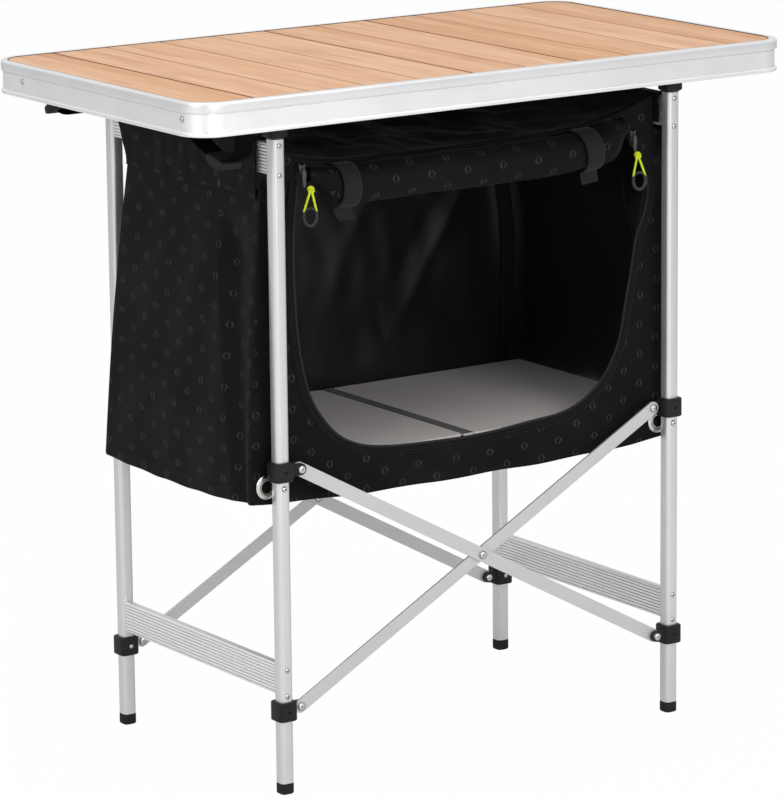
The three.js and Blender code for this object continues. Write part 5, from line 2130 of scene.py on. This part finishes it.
    def back_panel(self) -> None:
        """The back panel with its long slanting folds."""
        v, u = down(110), over(150)
        across = mix(-1.0, 1.0, u)
        top = LAYOUT.roof_z(across * LAYOUT.beside_plank, LAYOUT.back_sag)[0]
        bottom = LAYOUT.hem_z(across * LAYOUT.bottom_half)[0]
        knots = [0, 6 / 9, 7 / 9, 1]
        columns = [
            np.interp(v[:, 0], knots, [foot, *LAYOUT.shoulder, brow]) for foot, brow in zip(bottom, top)
        ]
        z = np.stack(columns, axis=1)
        x = across * LAYOUT.panel_half(z)
        free = arch(u, 0.6) * arch(clamp(v * 0.96 + 0.02), 0.5)
        folds = sum(fold.height(x, z) for fold in self.BACK_FOLDS)
        y = self.back_plane(x, z) + free * folds * (1 - 0.72 * bell(z - 0.395, 0.035))
        points = layers(LAYOUT.drawn_in(x, z), y, z)
        obj = patch_object("back_cloth", points, layers(x + 1.0, z), self.materials, flip=True)
        self.hang(obj, self.SIDES, Body.LEFT, ["back_panel"], True)
        self.back_tapes()

    def back_tapes(self) -> None:
        """Seam tape down the inside of each back corner."""
        parts = []
        z = down(50, *self.tape_z)
        spread = over(5, *self.tape_x) + np.clip((z - 0.5), 0, 1) * -0.055
        y = self.back_plane(spread, z) - 0.0045 - 0.001 * np.sin(z * 60)
        for way in (-1, 1):
            points = layers(LAYOUT.drawn_in(way * spread, z), y, z)
            uv = layers(spread, z)
            tape = patch_object(f"back_tape_{way}", points, uv, [self.finishes.tape], flip=way < 0)
            thicken(tape, self.tape_thickness)
            parts.append(tape)
        settle(join_objects("back_corner_tape", parts), Body.LEFT, "black_fabric", gathers=True)

    def roof(self) -> None:
        """The sagging roof between the sleeves."""
        v, u = down(70), over(150)
        x = mix(-1.0, 1.0, u) * (LAYOUT.beside_plank + 0.0001) + 0 * v
        front = LAYOUT.front_y(LAYOUT.plank_top) + LAYOUT.seam
        y = mix(front, LAYOUT.back_y(LAYOUT.plank_top) - LAYOUT.seam, v) + 0 * u
        z = LAYOUT.roof_z(x, mix(LAYOUT.roof_sag, LAYOUT.back_sag, v))
        free = arch(u, 0.7) * ease(v / 0.12) * ease((1 - v) / 0.12)
        points = layers(x, y, z + free * sum(fold.height(x, y) for fold in self.ROOF_FOLDS))
        # The roof's outside takes the darker, faintly printed roof cloth: painted shade under the top.
        faces = (self.finishes.roof, self.finishes.lining)
        obj = patch_object("roof_sheet", points, layers(x + 1.0, y), faces)
        self.hang(obj, ["sleeve_left", "sleeve_right"], Body.LEFT, ["roof_cloth"])
        gather(obj, keep=self.roof_keep)

    def floor(self) -> None:
        """The cloth floor that carries the shelf board."""
        v, u = down(30), over(60, -1, 1)
        level, margin = self.floor_z, self.floor_margin
        x = u * (LAYOUT.side_x(level) - self.floor_gap) + 0 * v
        y = mix(LAYOUT.front_y(level) + margin, LAYOUT.back_y(level) - margin, v) + 0 * u
        droop = np.abs(self.FLOOR_FOLDS.height(x, y)) * (1 - u**2) ** 0.5
        points = layers(LAYOUT.drawn_in(x, level), y, level - droop)
        obj = patch_object("floor_sheet", points, layers(x + 1.0, y), [self.finishes.lining])
        self.hang(obj, self.SIDES, Body.LEFT, ["floor_cloth"], True)


@dataclass
class RolledDoor:
    """The rolled-up door, its ties, and the zip sliders with their pullers."""

    finishes: Finishes
    cupboard: ClothCupboard
    radius: float = 0.025
    half_length: float = 0.2325
    turns: float = 5.6
    spacing: float = 0.0031
    centre_y: float = -0.17
    ties: tuple[Pair, ...] = ((-0.191, 0.0), (0.158, 0.014))
    tie_width: float = 0.025
    tie_thickness: float = 0.0012
    tail: float = 0.016
    anchor: float = -0.23
    keep: float = 0.115
    zip_anchor: float = -0.3661
    zips: tuple[tuple[Side, float, float], ...] = ((Side.LEFT, -0.243, 0.7477), (Side.RIGHT, 0.243, 0.7388))
    puller_gap: float = 0.0098
    knot_drop: float = 0.0235
    loop_drop: float = 0.0555
    loop_lean: Pair = (-0.0015, 0.0025)
    grip_half: Pair = (0.0079, 0.0105)
    grip_turn: float = math.radians(18)
    grip_shift: tuple[Pair, ...] = ((0.0065, -0.004), (0.001, -0.004))
    tab_size: Triple = (0.0058, 0.0016, 0.021)
    tab_steps: int = 24

    FOLDS = Crumple(61, 0.11, 0.0013, 0.25, 1.0)

    def build(self) -> None:
        """Builds the roll, ties, sliders and pullers."""
        self.roll()
        for side, (x, lean) in zip(Side, self.ties):
            self.tie(side.label, x, lean)
        for side, x, z in self.zips:
            self.slider(side)
            self.puller(side, x, z)

    def centre_z(self, x: Value) -> Value:
        """The height of the roll's middle.

        Args:
            x: The place along the roll.

        Returns:
            The height.
        """
        z = self.cupboard.mouth_top(x)
        reach = LAYOUT.front_y(z) - self.centre_y
        return z - 0.0003 - np.sqrt(self.radius**2 - reach**2)

    def roll(self) -> None:
        """The door's cloth, wound into a roll."""
        rows, columns = 240, 100
        x, turn = over(columns, -self.half_length, self.half_length), down(rows, 0, self.turns)
        pinch = np.zeros_like(x)
        for tie_x, lean in self.ties:
            pinch = np.maximum(pinch, 1 - clamp(np.abs(x - tie_x - lean / 2) / 0.03))
        radius = self.radius - 0.0006 - self.spacing * turn - 0.0011 * ease(pinch)
        angle = turn * 2 * math.pi
        folds = self.FOLDS.height(x + 0 * turn, angle * 0.02)
        folds -= 0.0012 * ease(pinch) * np.abs(np.sin(angle * 4 + x * 120))
        end = 1 - ease((self.half_length - np.abs(x)) / 0.036)
        radius = radius + np.minimum(folds, 0.0004) * np.exp(-turn * 1.2)
        radius = radius * (1 - 0.62 * end) * (1 + 0.05 * end * np.sin(9 * angle))
        y = self.centre_y + 0.007 * end + radius * np.cos(math.pi / 2 + angle)
        z = self.centre_z(x) + 0.012 * end + radius * np.sin(math.pi / 2 + angle)
        shift = 0.0016 * np.sin(turn * 5.1) * np.sign(x) * ease((np.abs(x) - 0.19) / 0.04)
        along = np.cumsum(radius[:, [columns // 2]], axis=0) * 2 * math.pi * self.turns / rows
        points, uv = layers(x + shift, y, z), layers(x + 1.0, along)
        obj = patch_object("rolled_door", points, uv, self.cupboard.materials, flip=True)
        thicken(obj, self.cupboard.cloth)
        settle(obj, Body.LEFT, "black_fabric", ["door_roll"])
        gather(obj, self.anchor, self.keep)

    def tie(self, label: str, centre: float, lean: float) -> None:
        """A webbing tie over the roll, with a short tail.

        Args:
            label: Left or right.
            centre: Its place along the roll.
            lean: How far its tail leans towards +X.
        """
        radius = self.radius + 0.0012
        start, arc = math.pi * 0.42, radius * (math.pi * 1.05)
        v, u = down(70), over(9, -0.5, 0.5)
        gone = v * (arc + self.tail)
        angle = start + np.minimum(gone, arc) / radius
        tail = np.maximum(gone - arc, 0)
        flick = 0.006 * ease(tail / self.tail) ** 2 if lean == 0 else 0
        x = centre + u * self.tie_width + lean * v + flick
        y = self.centre_y + radius * np.cos(angle) + 0.0012 * np.sin(gone * 160) * ease(tail / 0.01)
        points = layers(x, y, self.centre_z(x) + radius * np.sin(angle) - tail)
        uv = layers(u * self.tie_width, gone)
        obj = patch_object(f"tie_strap_{label}", points, uv, [self.finishes.webbing])
        thicken(obj, self.tie_thickness)
        settle(obj, Body.LEFT, "webbing", [f"door_tie_{label}"])
        gather(obj, self.anchor, self.keep)

    def slider(self, side: Side) -> None:
        """The zip's slider.

        Args:
            side: Which zip it belongs to.
        """
        node = f"zip_slider_{side.label}"
        obj = dressed_copy(f"metal_{node}", node, 0.0006)
        set_materials(obj, self.finishes.dark_metal)
        settle(obj, side.own("SLIDER"), "nickel", [node])
        self.follow(obj, side)

    def follow(self, obj: Object, side: Side) -> None:
        """Gives the right zip's pieces their own copies of their meshes."""
        if side is Side.RIGHT:
            gather(obj, self.zip_anchor)

    def puller(self, side: Side, x: float, z: float) -> None:
        """A puller: a metal tab, a knotted cord and a moulded loop.

        Args:
            side: Which zip it belongs to.
            x: The slider's place.
            z: The slider's height.
        """
        right = side is Side.RIGHT
        y = LAYOUT.front_y(z) - LAYOUT.seam - self.puller_gap
        tab = self.tab(f"tab_{side.label}", x, y, z)
        x, y = x + self.grip_shift[right][0], y + self.grip_shift[right][1]
        lean, knot_z, loop_z = self.loop_lean[right], z - self.knot_drop, z - self.loop_drop
        turns = np.linspace(0, TURN, 48, endpoint=False)
        swell = 0.0027 + 0.0012 * np.cos(3 * turns)
        knot = np.stack([
            x + swell * np.cos(2 * turns), y + 0.0015 * np.sin(3 * turns), knot_z + swell * np.sin(2 * turns),
        ], axis=1)
        parts = [tube_along(f"knot_{side.label}", knot, 0.0015, 8, closed=True)]
        for way in (-1, 1):
            route = np.array([
                [x + way * 0.0008, y, knot_z - 0.001],
                [x + way * 0.0042 + lean / 2, y - way * 0.0012, mix(knot_z, loop_z + 0.008, 0.55)],
                [x + lean + way * 0.0074, y - way * 0.0024, loop_z + 0.006],
            ])
            parts.append(tube_along(f"strand_{side.label}_{way}", spline(route, 16), 0.0014, 8))
        for part in parts:
            set_materials(part, self.finishes.cord)
        wide, tall = self.grip_half
        across = wide * np.cos(turns) * (1 + 0.08 * np.sin(turns))
        ring = (
            x + lean + across * math.cos(self.grip_turn),
            y - across * math.sin(self.grip_turn),
            loop_z + tall * np.sin(turns),
        )
        thickness = 0.0016 + 0.0006 * (1 - ease((np.sin(turns) + 0.1) / 0.8))
        grip = tube_along(f"grip_{side.label}", np.stack(ring, axis=1), thickness, 10, closed=True)
        set_materials(grip, self.finishes.grip)
        obj = join_objects(f"zip_pull_{side.label}", [tab, *parts, grip])
        settle(obj, side.own("PULLER"), "green_cord", [f"zip_puller_{side.label}"])
        self.follow(obj, side)

    def tab(self, name: str, x: float, y: float, z: float) -> Object:
        """The flat tab between slider and cord.

        Args:
            name: The object's name.
            x: Its place across.
            y: Its place in depth.
            z: The height of its upper end.

        Returns:
            The object.
        """
        width, thickness, length = self.tab_size
        outline = []
        for step in range(self.tab_steps):
            cosine, sine = math.cos(TURN * step / self.tab_steps), math.sin(TURN * step / self.tab_steps)
            wide = width / 2 * (1 if sine > 0 else 0.78)
            rise = math.copysign(abs(sine) ** 0.5, sine)
            outline.append((wide * math.copysign(abs(cosine) ** 0.6, cosine), rise * length / 2))
        depths = (-thickness / 2, thickness / 2)
        verts = [(x + a, y + depth, z - length / 2 + b) for depth in depths for a, b in outline]
        mesh = plain_mesh(name, verts, skin_faces(2, self.tab_steps))
        make_outward(mesh)
        obj = new_object(name, mesh)
        soften(obj, 0.0004)
        set_materials(obj, self.finishes.dark_metal)
        return obj


@dataclass
class ShelfBoard:
    """The two leaves of the shelf and the cloth hinge between them."""

    finishes: Finishes
    seam: float = 0.013
    top: float = 0.3963
    thickness: float = 0.003
    front: float = -0.156
    back: float = 0.155
    gap: float = 0.0001

    def build(self) -> None:
        """Builds both leaves with their half of the hinge."""
        for side in Side:
            node = f"board_{side.label}"
            obj = dressed_copy(f"leaf_{side.label}", node, 0.0006)
            set_materials(obj, self.finishes.board)
            settle(obj, side.own("LEAF"), "grey_board", [node])
            self.hinge_half(side)

    def hinge_half(self, side: Side) -> None:
        """Half of the dark cloth strip along the middle, over the leaf's filled edge.

        Args:
            side: The leaf's side.
        """
        y = down(60, self.front + 0.0005, self.back - 0.0005)
        x = side.value * (self.gap + over(5) * (self.seam / 2 + 0.001))
        points = layers(x, y, self.top + 0.0004 + 0.0001 * np.sin(y * 300))
        faces = [self.finishes.hinge]
        strip = patch_object(f"strip_{side.label}", points, layers(x, y), faces, flip=side is Side.LEFT)
        thicken(strip, 0.0006)
        width, depth, height = self.seam / 2, self.back - self.front, self.thickness - 0.0002
        work = block((width, depth, height))
        middle = (side.value * (width / 2 + self.gap), (self.front + self.back) / 2, self.top - height / 2)
        bmesh.ops.translate(work, verts=work.verts, vec=middle)
        name = f"core_{side.label}"
        core = new_object(name, mesh_of(work, bpy.data.meshes.new(name)))
        set_materials(core, self.finishes.board)
        settle(join_objects(f"hinge_strip_{side.label}", [strip, core]), side.own("LEAF"), "grey_board")


@dataclass
class Studio:
    """The camera, floor, world and lamps."""

    focal_pixels: float = 4545.7
    principal: Pair = (392.0, 400.0)
    position: Triple = (-3.1182, -4.5423, 1.6429)
    yaw: float = math.radians(34.424)
    pitch: float = math.radians(12.617)
    roll: float = math.radians(-0.587)
    sensor_width: float = 36.0
    floor_half: float = 40.0
    floor_glow: float = 0.98
    mirrored: float = 0.66
    ambient: float = 0.54
    aim: Triple = (0.0, 0.0, 0.45)

    LAMPS = (
        ("key_lamp", (0.5, -3.6, 1.9), 1.6, 34.0),
        ("front_lamp", (-1.1, -3.7, 1.0), 1.2, 14.0),
        ("side_lamp", (-3.4, -1.2, 1.7), 1.8, 34.0),
        ("top_lamp", (-0.4, -0.2, 3.6), 2.6, 28.0),
    )

    def camera(self) -> None:
        """Sets the camera where the photograph was taken from."""
        data = bpy.data.cameras.new("photo_camera")
        long_side = max(IMAGE_WIDTH, IMAGE_HEIGHT)
        data.sensor_width = self.sensor_width
        data.lens = self.focal_pixels / long_side * data.sensor_width
        data.shift_x = (IMAGE_WIDTH / 2 - self.principal[0]) / long_side
        data.shift_y = (self.principal[1] - IMAGE_HEIGHT / 2) / long_side
        data.clip_start, data.clip_end = 0.1, 200.0
        level = Vector((math.cos(self.yaw), -math.sin(self.yaw), 0.0))
        forward = Vector((
            math.sin(self.yaw) * math.cos(self.pitch),
            math.cos(self.yaw) * math.cos(self.pitch),
            -math.sin(self.pitch),
        ))
        above = level.cross(forward)
        right = math.cos(self.roll) * level + math.sin(self.roll) * above
        up = -math.sin(self.roll) * level + math.cos(self.roll) * above
        turn = Matrix((right, up, -forward)).transposed().to_4x4()
        camera = bpy.data.objects.new("photo_camera", data)
        camera.matrix_world = Matrix.Translation(Vector(self.position)) @ turn
        bpy.context.scene.collection.objects.link(camera)
        bpy.context.scene.camera = camera

    @staticmethod
    def seen(graph: Graph) -> tuple[Any, Socket]:
        """What Light Path gives, and whether the camera sees the surface, straight or through glass."""
        path = graph.add("ShaderNodeLightPath").outputs
        return path, graph.math("MAXIMUM", path["Is Camera Ray"], path["Is Transmission Ray"])

    def world(self) -> None:
        """A white surround that lights the object evenly."""
        world = bpy.data.worlds.new("white_room")
        world.use_nodes = True
        world.node_tree.nodes.clear()
        graph = Graph(world.node_tree)
        path, seen = self.seen(graph)
        bright = graph.math("MAXIMUM", seen, graph.times(path["Is Glossy Ray"], self.mirrored))
        strength = graph.times_plus(bright, 1 - self.ambient, self.ambient)
        light = graph.add("ShaderNodeBackground", {"Color": rgba((1.0, 1.0, 1.0)), "Strength": strength})
        graph.add("ShaderNodeOutputWorld", {"Surface": light.outputs[0]})
        bpy.context.scene.world = world

    def floor(self) -> None:
        """A plain pale floor that keeps a faint shadow."""
        work = bmesh.new()
        bmesh.ops.create_grid(work, x_segments=1, y_segments=1, size=self.floor_half)
        obj = new_object("studio_floor", mesh_of(work, bpy.data.meshes.new("studio_floor")))
        material, graph = blank_material("pale_floor")
        matte = graph.add("ShaderNodeBsdfDiffuse", {"Color": rgba((0.88, 0.88, 0.88))}).outputs[0]
        white = graph.add("ShaderNodeEmission", {"Color": rgba((1.0, 1.0, 1.0)), "Strength": 1.0}).outputs[0]
        share = graph.times(self.seen(graph)[1], self.floor_glow)
        both = graph.add("ShaderNodeMixShader", {0: share, 1: matte, 2: white}).outputs[0]
        graph.add("ShaderNodeOutputMaterial", {"Surface": both})
        set_materials(obj, material)

    def lamp(self, name: str, place: Triple, size: float, power: float) -> None:
        """A square soft lamp that faces the object.

        Args:
            name: The lamp's name.
            place: Where it stands.
            size: The length of its side.
            power: Its power in watts.
        """
        data = bpy.data.lights.new(name, "AREA")
        data.shape, data.size, data.energy = "SQUARE", size, power
        lamp = bpy.data.objects.new(name, data)
        lamp.location = place
        lamp.rotation_euler = (Vector(self.aim) - Vector(place)).to_track_quat("-Z", "Y").to_euler()
        bpy.context.scene.collection.objects.link(lamp)

    def build(self) -> None:
        """Sets the whole studio."""
        bpy.context.scene.view_settings.view_transform = "Standard"
        self.world()
        self.floor()
        for lamp in self.LAMPS:
            self.lamp(*lamp)


def main() -> None:
    """Builds the cupboard, sub-assembly by sub-assembly."""
    logging.basicConfig(level=logging.INFO, format="%(message)s")
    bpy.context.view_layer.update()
    studio = Studio()
    studio.camera()
    finishes = Finishes()
    repeats = Repeats(finishes)
    TableTop(finishes, repeats).build()
    FoldingFrame(finishes, repeats).build()
    cupboard = ClothCupboard(finishes, repeats)
    cupboard.build()
    RolledDoor(finishes, cupboard).build()
    ShelfBoard(finishes).build()
    studio.build()


if __name__ == "__main__":
    main()
